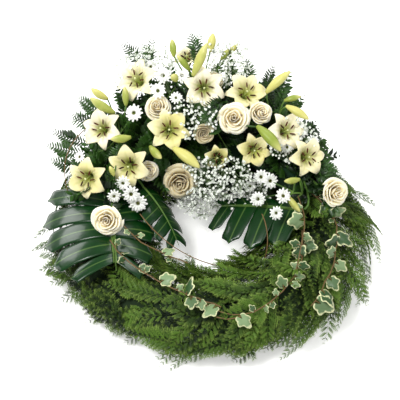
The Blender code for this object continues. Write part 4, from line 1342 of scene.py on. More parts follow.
TOP_ROWS = (
    Row(12.0, -4.0, 0.002, 0.050, 0.040, 6),
    Row(38.0, 0.0, 0.004, 0.040, 0.040, 6),
    Row(64.0, 0.0, 0.010, 0.034, 0.038, 5),
    Row(88.0, 8.0, 0.013, 0.032, 0.038, 5),
    Row(96.0, 52.0, 0.012, 0.036, 0.036, 6, 0.5),
    Row(122.0, 50.0, 0.000, 0.050, 0.036, 7, 0.4),
    Row(144.0, 18.0, 0.000, 0.044, 0.038, 6),
)
# Where the big leaf lies on the cedar, the fronds keep low and show only outside it
PRESSED_ROWS = (
    Row(10.0, -4.0, 0.002, 0.036, 0.040, 6),
    Row(36.0, 0.0, 0.000, 0.018, 0.038, 6),
    Row(80.0, 4.0, 0.000, 0.006, 0.036, 5),
    Row(118.0, 44.0, -0.004, 0.020, 0.036, 8, 0.4),
    Row(146.0, 26.0, -0.006, 0.056, 0.038, 8, 0.6),
)
PRESSED_STEPS = (5, 6, 7)
OUTER_ROWS = (
    Row(128.0, 6.0, 0.004, 0.022, 0.038, 2),
    Row(150.0, 8.0, 0.003, 0.026, 0.040, 3),
    Row(172.0, 10.0, 0.004, 0.034, 0.042, 3),
)
INNER_ROWS = (Row(24.0, 0.0, 0.003, 0.012, 0.036, 2),)
# Single sprays that the photograph shows, by bunch: tone, reach, then x, y, height of their curve's stops
DRAPES = {
    "cedar_bunch_01": (
        (0.60, 0.034, (344, 214, 0.10), (362, 236, 0.09), (366, 262, 0.05)),
        (0.35, 0.034, (344, 236, 0.09), (364, 258, 0.07), (370, 284, 0.04)),
        (0.15, 0.040, (312, 196, 0.12), (288, 220, 0.10), (268, 246, 0.09)),
        (0.10, 0.040, (306, 204, 0.12), (282, 226, 0.10), (258, 256, 0.09)),
        (0.20, 0.040, (326, 218, 0.11), (300, 240, 0.10), (272, 262, 0.09)),
    ),
    "cedar_bunch_02": (
        (0.45, 0.034, (326, 292, 0.07), (342, 310, 0.05), (338, 322, 0.02)),
        (0.55, 0.034, (340, 272, 0.08), (362, 288, 0.06), (368, 304, 0.03)),
        (0.35, 0.038, (330, 240, 0.11), (304, 258, 0.10), (262, 270, 0.09)),
    ),
    "cedar_bunch_03": (
        (0.50, 0.030, (300, 322, 0.05), (286, 344, 0.03), (264, 346, 0.01)),
        (0.85, 0.034, (300, 268, 0.11), (270, 272, 0.11), (228, 268, 0.10)),
        (0.70, 0.036, (286, 280, 0.11), (256, 276, 0.11), (214, 270, 0.10)),
    ),
    "cedar_bunch_04": (
        (0.55, 0.030, (262, 330, 0.05), (246, 354, 0.03), (214, 344, 0.01)),
        (0.60, 0.036, (246, 288, 0.11), (216, 280, 0.11), (186, 264, 0.09)),
    ),
    "cedar_bunch_05": (
        (0.40, 0.034, (160, 308, 0.06), (146, 330, 0.03), (132, 334, 0.01)),
        (0.90, 0.030, (196, 318, 0.06), (176, 344, 0.04), (160, 366, 0.008)),
        (0.95, 0.028, (208, 326, 0.06), (194, 344, 0.03), (172, 360, 0.008)),
        (1.00, 0.030, (204, 322, 0.06), (188, 352, 0.03), (168, 372, 0.006)),
        (0.95, 0.026, (214, 330, 0.05), (206, 352, 0.02), (182, 364, 0.006)),
        (1.00, 0.024, (190, 330, 0.05), (170, 350, 0.03), (154, 360, 0.006)),
        (0.30, 0.030, (150, 310, 0.05), (140, 336, 0.03), (124, 343, 0.008)),
        (0.45, 0.036, (212, 286, 0.10), (186, 274, 0.10), (166, 254, 0.08)),
        (0.25, 0.038, (222, 300, 0.085), (202, 290, 0.085), (176, 278, 0.075)),
    ),
    "cedar_bunch_06": (
        (0.30, 0.034, (128, 286, 0.05), (108, 304, 0.04), (90, 304, 0.02)),
        (0.45, 0.034, (140, 298, 0.05), (118, 318, 0.03), (94, 314, 0.01)),
        (0.25, 0.030, (120, 292, 0.05), (104, 318, 0.03), (86, 322, 0.010)),
        (0.15, 0.030, (136, 300, 0.05), (126, 326, 0.03), (110, 334, 0.010)),
        (0.40, 0.036, (190, 278, 0.09), (168, 264, 0.09), (152, 240, 0.07)),
        (0.30, 0.038, (186, 294, 0.085), (166, 282, 0.085), (142, 268, 0.075)),
        (0.20, 0.038, (172, 292, 0.085), (152, 278, 0.085), (132, 262, 0.070)),
        (0.30, 0.040, (196, 300, 0.090), (171, 281, 0.092), (143, 260, 0.080)),
        (0.25, 0.038, (176, 286, 0.075), (160, 276, 0.078), (146, 266, 0.070)),
    ),
    "cedar_bunch_07": (
        (0.50, 0.034, (98, 262, 0.05), (70, 276, 0.05), (49, 284, 0.03)),
        (0.35, 0.034, (112, 272, 0.05), (90, 290, 0.05), (70, 292, 0.02)),
        (0.25, 0.030, (92, 276, 0.05), (74, 296, 0.03), (60, 300, 0.010)),
    ),
    "cedar_bunch_08": (
        (0.35, 0.034, (76, 215, 0.07), (52, 222, 0.07), (33, 240, 0.05)),
        (0.45, 0.032, (76, 236, 0.06), (50, 240, 0.06), (30, 252, 0.04)),
        (0.30, 0.034, (84, 250, 0.05), (58, 262, 0.05), (38, 272, 0.03)),
    ),
}
# For each bunch its tone, and how far it spreads outwards beside the others
BUNCHES = (
    (0.38, 1.0), (0.32, 0.9), (0.36, 0.85), (0.36, 0.3),
    (0.32, -0.2), (0.14, -0.5), (0.08, -0.1), (0.15, 0.8),
)


def cedar(kit: Kit) -> None:
    """Builds all the cedar, bunch by bunch.

    Args:
        kit: What it is made with.
    """
    for k, (tone, outward) in enumerate(BUNCHES):
        rows = PRESSED_ROWS if k in PRESSED_STEPS else TOP_ROWS
        CedarBunch(kit, f"cedar_bunch_{k + 1:02d}", (k,), rows, tone, outward).build()
    CedarBunch(kit, "cedar_outer_left", (8, 9, 10), OUTER_ROWS, 0.35).build()
    CedarBunch(kit, "cedar_outer_right", (11, 12, 13, 14), OUTER_ROWS, 0.35).build()
    CedarBunch(kit, "cedar_inner", (8, 9, 10, 11, 12, 13, 14), INNER_ROWS, 0.3).build()


# Monstera


@dataclass
class Monstera(Piece):
    """A big waxy leaf cut into lobes from its edge towards its midrib, bent down at both sides.

    Attributes:
        base: The pixel and the height of its foot.
        tip: The pixel and the height of its tip.
        widths: The half width of each side.
        bends: How far each side turns down, in radians.
        arch: How far its midrib bows up.
        lobes: How many lobes each side has.
        fan: How far the lobes at the foot and at the tip lean towards the tip.
        thickness: The blade's thickness.
    """

    base: tuple[float, float, float]
    tip: tuple[float, float, float]
    widths: tuple[float, float]
    bends: tuple[float, float]
    arch: float
    lobes: int
    fan: tuple[float, float]
    thickness: float = 0.0009

    def build(self) -> bpy.types.Object:
        """Builds the leaf and its stalk, and hands them over.

        Returns:
            The piece.
        """
        base, tip = height_at(*self.base), height_at(*self.tip)
        middle = base.lerp(tip, 0.5)
        crest = ring_point(bearing_of(middle), 0.0, BED_MIDDLE)
        upward = (middle - crest).normalized() + Vector((0.0, 0.0, 0.8))
        length, forward = (tip - base).length, (tip - base).normalized()
        across = forward.cross(upward.normalized()).normalized()
        normal = across.cross(forward).normalized()
        shell = Shell()

        def at(u: float, v: float) -> Vector:
            """The whole leaf's point at a share along its midrib and a share out to a side.

            Args:
                u: The share along, 0 at the foot.
                v: The share across, -1 to 1.

            Returns:
                The point.
            """
            half = self.widths[0] if v < 0 else self.widths[1]
            bend = self.bends[0] if v < 0 else self.bends[1]
            turn = abs(v) * bend
            out = math.copysign(half * math.sin(turn) / bend, v)
            down = half * (1 - math.cos(turn)) / bend
            return base + forward * length * u + across * out - normal * (down - self.arch * 4 * u * (1 - u))

        def reach(u: float) -> float:
            """How wide the leaf is at a share along, as a share of its full width."""
            return math.sin(math.pi * min(1.0, 0.20 + 0.80 * u)) ** 0.55

        for side in (-1.0, 1.0):
            for i in range(self.lobes):
                low, high = i / self.lobes, min(0.93, (i + 1) / self.lobes)
                middle_u = (low + high) / 2

                def lobe(t: float, s: float) -> Vector:
                    """The lobe's point.

                    Args:
                        t: The share from the midrib to the lobe's end.
                        s: The share across the lobe, -1 to 1.

                    Returns:
                        The point.
                    """
                    slit = max(0.0, (t - 0.48) / 0.52)
                    spread = self.fan[1] - self.fan[0]
                    half = (high - low) / 2 * (1.0 - 0.10 * min(1.0, slit * 4))
                    half *= math.sqrt(max(0.01, 1 - t ** 18))
                    half *= 1.0 + spread * t
                    lean = (self.fan[0] + spread * middle_u) * t
                    tip_cut = 1.0 - 0.09 * s * s * t
                    pleat = 0.0030 * (1 - s * s) * t
                    out = 0.012 + 0.988 * reach(middle_u) * t * tip_cut
                    return at(middle_u + lean + half * s, side * out) + normal * pleat

                shell.blade(lobe if side > 0 else lambda t, s: lobe(t, -s), 14, 8, self.thickness)
        path = [at(u, 0.0) + normal * 0.0012 for u in (1.04, 0.8, 0.6, 0.4, 0.2, 0.0)]
        shell.tube(path, [0.0006, 0.0012, 0.0016, 0.0020, 0.0024, 0.0027], 8, finish=1)
        stalk = curve((at(0.02, 0.0), base - forward * 0.04, in_foam(base)), 6)
        shell.tube(stalk, [0.0027] * len(stalk), 8, finish=1)
        piece = shell.made("fine_" + self.node, [self.kit.finishes.monstera, self.kit.finishes.stem])
        shown(piece, self.node)
        return piece


# Node, foot and tip as x, y, height, half widths and bends of the two sides, arch, lobes, and their lean
MONSTERA = (
    ("monstera_left", (110, 196, 0.142), (116, 268, 0.142), (0.115, 0.188), (0.70, 1.1), 0.006, 5,
     (-0.40, 0.26)),
    ("monstera_hole_left", (144, 188, 0.150), (178, 244, 0.085), (0.060, 0.060), (0.8, 0.8), 0.010, 4,
     (0.08, 0.18)),
    ("monstera_hole_right", (302, 210, 0.158), (216, 206, 0.106), (0.112, 0.035), (0.30, 0.9), 0.010, 4,
     (0.08, 0.14)),
)


# Flowers


# The centre and the radius of each bloom that has been built, which smaller plants keep clear of
FLOWERS: list[tuple[Vector, float]] = []


def is_open(point: Vector, spare: float) -> bool:
    """Whether a point keeps clear of every bloom and stands before none of them.

    Args:
        point: The point.
        spare: How much further off a bloom than its radius it has to be.

    Returns:
        Whether it is free.
    """
    for centre, radius in FLOWERS:
        offset = point - centre
        ahead = offset.dot(TOWARDS)
        aside = (offset - TOWARDS * ahead).length
        if offset.length < radius + spare or (ahead > 0 and aside < radius * 0.9 + spare):
            return False
    return True


@dataclass
class Bloom(Piece):
    """A flower on a stem of its own.

    Attributes:
        x: The column of the pixel that shows it.
        y: The row of that pixel.
        lift: How far over the mound it stands.
        right: How far it leans to the photograph's right.
        up: How far it leans to the photograph's top.
        opening: How far it has opened, 0 to 1.
        size: Its size, as a share of the usual one.
    """

    x: float
    y: float
    lift: float
    right: float
    up: float
    opening: float
    size: float


@dataclass
class Lily(Bloom):
    """An open lily: six curled tepals, six stamens with brown anthers, and a pistil.

    Attributes:
        yellow: How yellow its tepals are, 0 to 1.
    """

    yellow: float

    @property
    def flare(self) -> float:
        """How far its tepals spread, as a share of the usual spread."""
        return 0.72 + 0.42 * self.opening

    def tepal(self, turn: float, inner: bool, phase: float) -> Callable[[float, float], Vector]:
        """Shapes one tepal.

        Args:
            turn: Where on the flower it stands, as an angle.
            inner: Whether it is one of the three broad inner ones.
            phase: Where the waves of its edge start, as an angle.

        Returns:
            Its surface.
        """
        flare = self.flare
        wide = 0.0208 if inner else 0.0158
        drop = 0.0 if inner else 0.0030
        stops = (Vector((0.0022, 0.0, 0.0)), Vector((0.008, 0.0, 0.036)),
                 Vector((0.022 * flare, 0.0, 0.064)), Vector((0.047 * flare, 0.0, 0.054)))

        def surface(u: float, v: float) -> Vector:
            """The tepal's point.

            Args:
                u: The share along, 0 at the foot.
                v: The share across, -1 to 1.

            Returns:
                The point, with the flower's foot at the origin.
            """
            spot = bezier(stops, u)
            half = wide * math.sin(math.pi * (0.03 + 0.955 * u ** 1.25)) ** 0.80 + 0.0006
            wave = 0.0013 * v * v * math.sin(8.0 * u + phase + v)
            height = spot.z - drop + wave - self.opening * 0.010 * max(0.0, u - 0.7) ** 2 * 11
            height -= 0.0014 * math.exp(-(v / 0.16) ** 2) * (1 - u)
            lap = 0.20 * half * v * v
            out, aside = spot.x - lap * (1 - u), v * half
            height += lap * u
            return Vector((out * math.cos(turn) - aside * math.sin(turn),
                           out * math.sin(turn) + aside * math.cos(turn), height)) * self.size

        return surface

    def build(self) -> bpy.types.Object:
        """Builds the flower and hands it over.

        Returns:
            The piece.
        """
        chance = random.Random(self.node)
        forward = facing(self.right, self.up)
        mouth = seen(self.x, self.y, over_mound, self.lift)
        base = mouth - forward * 0.045 * self.size
        place = stand(base, forward, roll=0.4 + 1.7 * self.x)
        local = Shell()
        for k in range(6):
            inner = k % 2 == 0
            surface = self.tepal(math.pi / 3 * k + chance.uniform(-0.05, 0.05), inner, chance.uniform(0, 6))
            local.blade(surface, 14, 8, 0.0008, self.yellow + chance.uniform(-0.15, 0.15))
        for k in range(6):
            turn = math.pi / 3 * (k + 0.5) + chance.uniform(-0.12, 0.12)
            out = Vector((math.cos(turn), math.sin(turn), 0.0))
            end = out * 0.0150 * self.flare + Vector((0.0, 0.0, 0.054))
            path = [spot * self.size for spot in curve((out * 0.001, Vector((0.0, 0.0, 0.030)), end), 4)]
            local.tube(path, [0.0006] * len(path), 5, finish=2)
            aside = out.cross(Vector((0.0, 0.0, 1.0)))
            lean = out + aside * chance.uniform(-0.5, 0.5) + Vector((0, 0, chance.uniform(0.0, 0.5)))
            lean.normalize()
            ends = [(end + lean * step) * self.size for step in (-0.0072, -0.0042, 0.0, 0.0042, 0.0072)]
            local.tube(ends, [0.0006, 0.0017, 0.0019, 0.0017, 0.0006], 6, chance.random(), finish=1)
        axis = [Vector((0.0, 0.0, rise)) * self.size for rise in (0.0, 0.030, 0.054, 0.058)]
        local.tube(axis, [0.0022, 0.0011, 0.0012, 0.0026], 6, finish=2)
        shell = Shell()
        shell.placed(local, place)
        stem = curve((base + forward * 0.002, base - forward * 0.05, in_foam(base)), 8)
        shell.tube(stem, [0.0025] * len(stem), 6, finish=3)
        shades = self.kit.finishes
        piece = shell.made("fine_" + self.node, [shades.lily, shades.anther, shades.filament, shades.stem])
        shown(piece, self.node)
        FLOWERS.append((mouth - forward * 0.012, 0.040 * self.size))
        return piece


@dataclass
class Rose(Bloom):
    """A rose: whorls of petals, rolled tight in the heart and curled back outside."""

    # Each whorl from the heart outwards: petals, radius, height, half width as an angle, curl of the rim
    WHORLS = (
        (3, 0.0040, 0.0400, 1.35, 0.0002),
        (3, 0.0085, 0.0408, 1.20, 0.0012),
        (4, 0.0140, 0.0400, 1.05, 0.0034),
        (4, 0.0200, 0.0372, 1.00, 0.0062),
        (5, 0.0252, 0.0318, 0.88, 0.0084),
        (5, 0.0285, 0.0235, 0.86, 0.0092),
    )
    BEIGE = ("rose_05", "rose_07")
    SEPALS = 5

    def petal(self, turn: float, whorl: tuple, chance: random.Random) -> Callable[[float, float], Vector]:
        """Shapes one petal.

        Args:
            turn: Where on the flower it stands, as an angle.
            whorl: Its whorl's row of WHORLS.
            chance: The flower's random numbers.

        Returns:
            Its surface.
        """
        _, top, high, half, curl = whorl
        top *= chance.uniform(0.94, 1.06) * (0.92 + 0.10 * self.opening)
        high += chance.uniform(-0.0016, 0.0012)
        curl *= (0.55 + 0.6 * self.opening) * chance.uniform(0.7, 1.3)
        phase = chance.uniform(0.0, 6.0)

        def surface(u: float, v: float) -> Vector:
            """The petal's point.

            Args:
                u: The share along, 0 at the foot.
                v: The share across, -1 to 1.

            Returns:
                The point, with the flower's foot at the origin.
            """
            belly = math.sin(min(1.0, u * 1.12) * math.pi / 2) ** 0.8
            wave = 0.0010 * math.sin(4.0 * v + phase) * u ** 3 * min(1.0, top / 0.012)
            radius = top * (0.16 + 0.84 * belly) + curl * u ** 5 * (1 - 0.35 * v * v) + wave
            edge = 1.0 - 0.30 * abs(v) ** 2.6 * u
            height = -0.004 + (high + 0.004) * u ** 0.9 * edge - curl * 0.8 * u ** 7
            angle = turn + v * half * (0.5 + 0.5 * math.sqrt(u + 0.001))
            out = radius + 0.0020 * v * min(1.0, top / 0.012)
            return Vector((out * math.cos(angle), out * math.sin(angle), height)) * self.size

        return surface

    def build(self) -> bpy.types.Object:
        """Builds the flower and hands it over.

        Returns:
            The piece.
        """
        chance = random.Random(self.node)
        forward = facing(self.right, self.up)
        face = seen(self.x, self.y, over_mound, self.lift)
        base = face - forward * 0.030 * self.size
        place = stand(base, forward, roll=0.9 * self.x)
        local = Shell()
        for order, whorl in enumerate(self.WHORLS):
            first = chance.uniform(0.0, 2 * math.pi)
            for k in range(whorl[0]):
                turn = first + 2 * math.pi * k / whorl[0] + chance.uniform(-0.16, 0.16)
                tone = (order + 0.6 * chance.random()) / len(self.WHORLS)
                local.blade(self.petal(turn, whorl, chance), 9, 8, 0.0008, tone)
        for k in range(self.SEPALS):
            turn = 2 * math.pi * k / self.SEPALS
            out = Vector((math.cos(turn), math.sin(turn), 0.0))
            root, tip = out * 0.004, out * 0.026 + Vector((0.0, 0.0, -0.010))
            local.kite(root * self.size, tip * self.size, out.cross(Vector((0, 0, 1))) * 0.004,
                       Vector((0.0, 0.0, 0.001)), 0.35, finish=1)
        shell = Shell()
        shell.placed(local, place)
        stem = curve((base, base - forward * 0.05, in_foam(base)), 8)
        shell.tube(stem, [0.0028] * len(stem), 6, finish=1)
        petals = self.kit.finishes.old_rose if self.node in self.BEIGE else self.kit.finishes.rose
        piece = shell.made("fine_" + self.node, [petals, self.kit.finishes.stem])
        shown(piece, self.node)
        FLOWERS.append((base + forward * 0.016 * self.size, 0.036 * self.size))
        return piece


@dataclass
class BudStem(Piece):
    """Lily buds on one stem: ridged, pointed and yellow-green.

    Attributes:
        buds: The buds, as rows of BUD_STEMS.
    """

    buds: Sequence[tuple[float, ...]]

    def build(self) -> bpy.types.Object:
        """Builds the buds with their stalks, and hands them over.

        Returns:
            The piece.
        """
        chance = random.Random(self.node)
        shell = Shell()
        heads = []
        for x, y, tip_x, tip_y, lift, towards, radius in self.buds:
            base = seen(x, y, over_mound, lift)
            heads.append((base, base + shown_step(x, y, tip_x, tip_y, towards), radius))
        middle = sum((base for base, _, _ in heads), Vector()) / len(heads)
        hub = ring_point(bearing_of(middle), 0.0, HUB_HEIGHT).lerp(middle, 0.45)
        rings = 12
        for base, tip, radius in heads:
            bow = (tip - base).orthogonal().normalized() * radius * 0.3
            path = curve((base, base.lerp(tip, 0.5) + bow, tip), rings)
            shape = [radius * (math.sin(math.pi * (0.10 + 0.88 * k / rings) ** 1.15) ** 0.8) + 0.0006
                     for k in range(rings + 1)]
            shell.tube(path, shape, 12, chance.random(), ridge=lambda turn: 1 + 0.07 * math.cos(3 * turn))
            stalk = curve((base.lerp(tip, 0.04), base.lerp(hub, 0.3) + (base - tip) * 0.2, hub), 5)
            shell.tube(stalk, [0.0018] * len(stalk), 6, chance.random(), finish=1)
            for share in (0.25, 0.6):
                FLOWERS.append((base.lerp(tip, share), radius * 1.2))
        shell.tube([hub, hub.lerp(in_foam(hub), 0.5), in_foam(hub)], [0.0026] * 3, 6, finish=1)
        piece = shell.made("fine_" + self.node, [self.kit.finishes.bud, self.kit.finishes.stem])
        shown(piece, self.node)
        return piece


@dataclass
class DaisySpray(Piece):
    """Chrysanthemum heads on one stem: two rows of white rays round a green-brown eye.

    Attributes:
        heads: The heads, as rows of DAISY_SPRAYS.
        rays: How many rays a head has.
        radius: The radius of a head of full size.
    """

    heads: Sequence[tuple[float, ...]]
    rays: int = 24
    radius: float = 0.0215

    EYE_FLORETS = 26
    GOLDEN_TURN = 2.39996

    def eye(self, shell: Shell, place: Matrix, size: float, chance: random.Random) -> None:
        """Adds a domed eye of tight florets.

        Args:
            shell: The mesh that it goes into.
            place: The matrix of the head.
            size: The head's size.
            chance: The spray's random numbers.
        """
        for k in range(self.EYE_FLORETS):
            share = math.sqrt((k + 0.5) / self.EYE_FLORETS)
            turn = self.GOLDEN_TURN * k
            spot = Vector((math.cos(turn) * share * 0.0060, math.sin(turn) * share * 0.0060,
                           0.0042 * (1 - share ** 2)))
            root = Vector((spot.x * 0.8, spot.y * 0.8, -0.001))
            tip = spot + Vector((0.0, 0.0, 0.0012))
            aside = Vector((-math.sin(turn), math.cos(turn), 0.0)) * 0.0012
            shell.kite(place @ (root * size), place @ (tip * size), place.to_3x3() @ (aside * size),
                       place.to_3x3() @ (Vector((aside.y, -aside.x, 0.0)) * size), 0.8, chance.random(), 0)

    def build(self) -> bpy.types.Object:
        """Builds the heads with their stalks, and hands them over.

        Returns:
            The piece.
        """
        chance = random.Random(self.node)
        rays, eyes, stalks = Points(), Shell(), Shell()
        centres = [seen(x, y, over_mound, lift) for x, y, lift, *_ in self.heads]
        middle = sum(centres, Vector()) / len(centres)
        hub = ring_point(bearing_of(middle), 0.0, HUB_HEIGHT).lerp(middle, 0.5)
        for centre, (_, _, _, right, up, size) in zip(centres, self.heads):
            forward = facing(right, up)
            place = stand(centre, forward, roll=centre.x * 90)
            turn_only = place.to_3x3()
            for k in range(self.rays):
                outer = k % 2
                turn = 2 * math.pi * k / self.rays + chance.uniform(-0.06, 0.06)
                out = turn_only @ Vector((math.cos(turn), math.sin(turn), 0.10 + 0.18 * (1 - outer)))
                length = self.radius * size * (1.0 - 0.16 * (1 - outer)) * chance.uniform(0.92, 1.06)
                start = centre + out * 0.004 * size + forward * 0.0006 * (1 - outer)
                rays.add(start, out, forward, length - 0.004 * size, chance.random())
            self.eye(eyes, place, size, chance)
            neck = centre - forward * 0.016
            path = curve((centre - forward * 0.001, neck, neck.lerp(hub, 0.5), hub), 6)
            stalks.tube(path, [0.0018, 0.0013, 0.0012, 0.0012, 0.0013, 0.0014, 0.0015], 5, chance.random())
            FLOWERS.append((centre, self.radius * size * 0.7))
        stalks.tube([hub, hub.lerp(in_foam(hub), 0.5), in_foam(hub)], [0.0020] * 3, 6)
        kit = self.kit
        parts = [kit.grower.grow(Tree.SCATTER, self.node + "_rays", rays, kit.finishes.daisy, kit.shapes.ray),
                 eyes.made(self.node + "_eyes", [kit.finishes.eye], smooth=False),
                 stalks.made(self.node + "_stalks", [kit.finishes.stem])]
        piece = joined("fine_" + self.node, parts)
        shown(piece, self.node)
        return piece


@dataclass
class Gypsophila(Piece):
    """A cloud of small white florets on hair-thin forked branches.

    Attributes:
        x: The column of the pixel that shows its middle.
        y: The row of that pixel.
        lift: How far over the mound its middle is.
        half_width: Half its width in the photograph.
        half_height: Half its height in the photograph.
        florets: How many florets it has, where there is room for them.
        radius: The radius of a floret.
    """

    x: float
    y: float
    lift: float
    half_width: float
    half_height: float
    florets: int
    radius: float = 0.0035

    FORKS = 12
    TRIES = 12
    GAP = 0.0050

    def build(self) -> bpy.types.Object:
        """Grows the cloud and hands it over.

        Returns:
            The piece.
        """
        chance = random.Random(self.node)
        centre = seen(self.x, self.y, over_mound, self.lift)
        root = in_foam(centre)
        hub = root.lerp(centre, 0.55)
        forks = []
        for _ in range(self.FORKS):
            turn, share = chance.uniform(0, 2 * math.pi), chance.uniform(0.2, 0.9)
            forks.append(centre + RIGHT * self.half_width * share * math.cos(turn)
                         + UP * self.half_height * share * math.sin(turn) - TOWARDS * 0.022)
        florets, branches = Points(), Points()
        branches.line([root, root.lerp(hub, 0.5), hub], [UP] * 3, [0.0012] * 3, 0.4)
        for fork in forks:
            branches.line([hub, hub.lerp(fork, 0.5) + TOWARDS * 0.003, fork], [UP] * 3,
                          [0.0009, 0.0007, 0.0006], chance.random())
        placed: list[Vector] = []
        for _ in range(self.florets * self.TRIES):
            if len(placed) == self.florets:
                break
            turn = chance.uniform(0, 2 * math.pi)
            share = chance.uniform(0.0, 1.0) ** 0.55
            spot = (centre + RIGHT * self.half_width * 1.15 * share * math.cos(turn)
                    + UP * self.half_height * 1.15 * share * math.sin(turn)
                    + TOWARDS * chance.uniform(-0.02, 0.02))
            if not is_open(spot, -0.004) or any((spot - other).length < self.GAP for other in placed):
                continue
            placed.append(spot)
            fork = min(forks, key=lambda place: (place - spot).length)
            bend = fork.lerp(spot, 0.5) + jitter(chance, 0.003)
            branches.line([fork, bend, spot], [UP] * 3, [0.0005, 0.00045, 0.0004], chance.random())
            aim = TOWARDS + (spot - centre) * 8 + jitter(chance, 0.5)
            florets.add(spot, aim.normalized(), aim.orthogonal(), self.radius * chance.uniform(0.7, 1.15),
                        chance.random())
        kit = self.kit
        parts = [kit.grower.grow(Tree.SCATTER, self.node + "_florets", florets, kit.finishes.floret,
                                 kit.shapes.floret),
                 kit.grower.grow(Tree.SWEEP, self.node + "_branches", branches, kit.finishes.hair, Sides=3)]
        piece = joined("fine_" + self.node, parts)
        shown(piece, self.node)
        return piece


@dataclass
class Greens(Piece):
    """Leafy twigs: some where the photograph shows them, and many short ones that fill the mound.

    Attributes:
        twigs: The twigs that the photograph shows, as rows of GREENS.
        bearing: The bearing that they stand round, in degrees.
        fillers: How many short twigs are tried.
        fullest: How near to the mound's surface the short ones end at most.
        spread: How far round the ring they stand to each side, in radians.
    """

    twigs: Sequence[tuple[float, ...]]
    bearing: float
    fillers: int
    fullest: float = 0.94
    spread: float = 0.62

    TWIG_PARTS = 6

    def build(self) -> bpy.types.Object:
        """Grows the twigs and hands them over.

        Returns:
            The piece.
        """
        chance = random.Random(self.node)
        shown_twigs, fill = Points(), Points()
        hub = ring_point(math.radians(self.bearing), -FOAM_INSET, FOAM_HEIGHT)
        for x, y, lift, tip_x, tip_y, towards in self.twigs:
            base = seen(x, y, over_mound, lift - 0.01)
            tip = base + shown_step(x, y, tip_x, tip_y, towards)
            for k in range(3):
                sway = RIGHT * chance.uniform(-0.012, 0.012) + UP * chance.uniform(-0.014, 0.004)
                end = tip + sway * k
                bow = base.lerp(end, 0.5) + RIGHT * chance.uniform(-0.006, 0.006)
                path = [hub.lerp(base, 0.6)] + curve((base, bow, end), self.TWIG_PARTS)
                sizes = [0.2] + [1.0] * (len(path) - 1)
                shown_twigs.line(path, [TOWARDS] * len(path), sizes, chance.random())
        for _ in range(self.fillers):
            bearing = math.radians(self.bearing) + chance.uniform(-self.spread, self.spread)
            spine = ring_point(bearing, 0.0, SPINE_HEIGHT + 0.03)
            lean = Vector((chance.uniform(-1, 1), chance.uniform(-1, 1), chance.uniform(-0.45, 1.1)))
            mound = MOUND_LOW + MOUND_SWELL * math.cos(max(-1.4, min(1.4, bearing))) ** MOUND_POWER
            end = spine + lean.normalized() * mound * chance.uniform(0.60, self.fullest)
            end.z = max(end.z, 0.07)
            start = spine.lerp(end, 0.35)
            bow = start.lerp(end, 0.55) + jitter(chance, 0.012)
            path = curve((start, bow, end), self.TWIG_PARTS)
            up = (TOWARDS + jitter(chance, 0.7)).normalized()
            tone = chance.uniform(0.0, 0.7)
            if is_open(end, -0.006):
                fill.line(path, [up] * len(path), [1.0] * len(path), tone)
        kit = self.kit
        parts = [kit.grower.grow(Tree.FROND, self.node + "_twigs", shown_twigs, kit.finishes.leaf,
                                 kit.shapes.needle_leaf, Spacing=0.0065, Reach=0.026, Splay=0.95,
                                 Rib=0.0011, Seed=3),
                 kit.grower.grow(Tree.FROND, self.node + "_fill", fill, kit.finishes.leaf,
                                 kit.shapes.leaf, Spacing=0.011, Reach=0.030, Splay=0.9, Rib=0.0012, Seed=5)]
        piece = joined("fine_" + self.node, parts)
        shown(piece, self.node)
        return piece


@dataclass
class IvyTrail(Piece):
    """A shoot of variegated ivy that lies over the cedar, with leaves to both sides.

    Attributes:
        route: The pixels that it runs through, each with its lift over the bed of the cedar.
        leaf: The length of its longest leaves.
        gaps: The share of the places for a leaf that stay bare.
        sunk: How far it has sunk into the cedar.
    """

    route: Sequence[tuple[float, float, float]]
    leaf: float = 0.036
    gaps: float = 0.28
    sunk: float = 0.012

    def build(self) -> bpy.types.Object:
        """Grows the shoot and hands it over.

        Returns:
            The piece.
        """
        chance = random.Random(self.node)
        stops = [seen(x, y, over_cedar, lift - self.sunk) for x, y, lift in self.route]
        path: list[Vector] = []
        for a, b in zip(stops, stops[1:]):
            path += [a, a.lerp(b, 0.5) + jitter(chance, 0.003)]
        path.append(stops[-1])
        vine, leaves = Points(), Points()
        vine.line(path, [TOWARDS] * len(path), [0.0014] * len(path), 0.5)
        for k in range(1, len(path) - 1):
            if chance.random() < self.gaps:
                continue
            ahead = (path[k + 1] - path[k - 1]).normalized()
            crest = ring_point(bearing_of(path[k]), 0.0, BED_MIDDLE)
            up = ((path[k] - crest).normalized() + TOWARDS * 0.8).normalized()
            side = ahead.cross(up).normalized() * chance.choice((-1, 1))
            root = path[k].lerp(path[k + 1], chance.uniform(0.0, 0.6))
            aim = side * 0.9 + ahead * chance.uniform(-0.6, 1.1) + up * chance.uniform(-0.1, 0.5)
            aim.normalize()
            foot = root + aim * chance.uniform(0.004, 0.012) + up * 0.003
            vine.line([root, root.lerp(foot, 0.5) + up * 0.003, foot], [up] * 3, [0.0007] * 3, 0.7)
            tilt = (up + jitter(chance, 0.8)).normalized()
            leaves.add(foot, aim, tilt, self.leaf * (0.30 + 0.70 * chance.random() ** 1.4), chance.random())
        kit = self.kit
        parts = [kit.grower.grow(Tree.SCATTER, self.node + "_leaves", leaves, kit.finishes.ivy,
                                 kit.shapes.ivy),
                 kit.grower.grow(Tree.SWEEP, self.node + "_vine", vine, kit.finishes.vine, Sides=5)]
        piece = joined("fine_" + self.node, parts)
        shown(piece, self.node)
        return piece


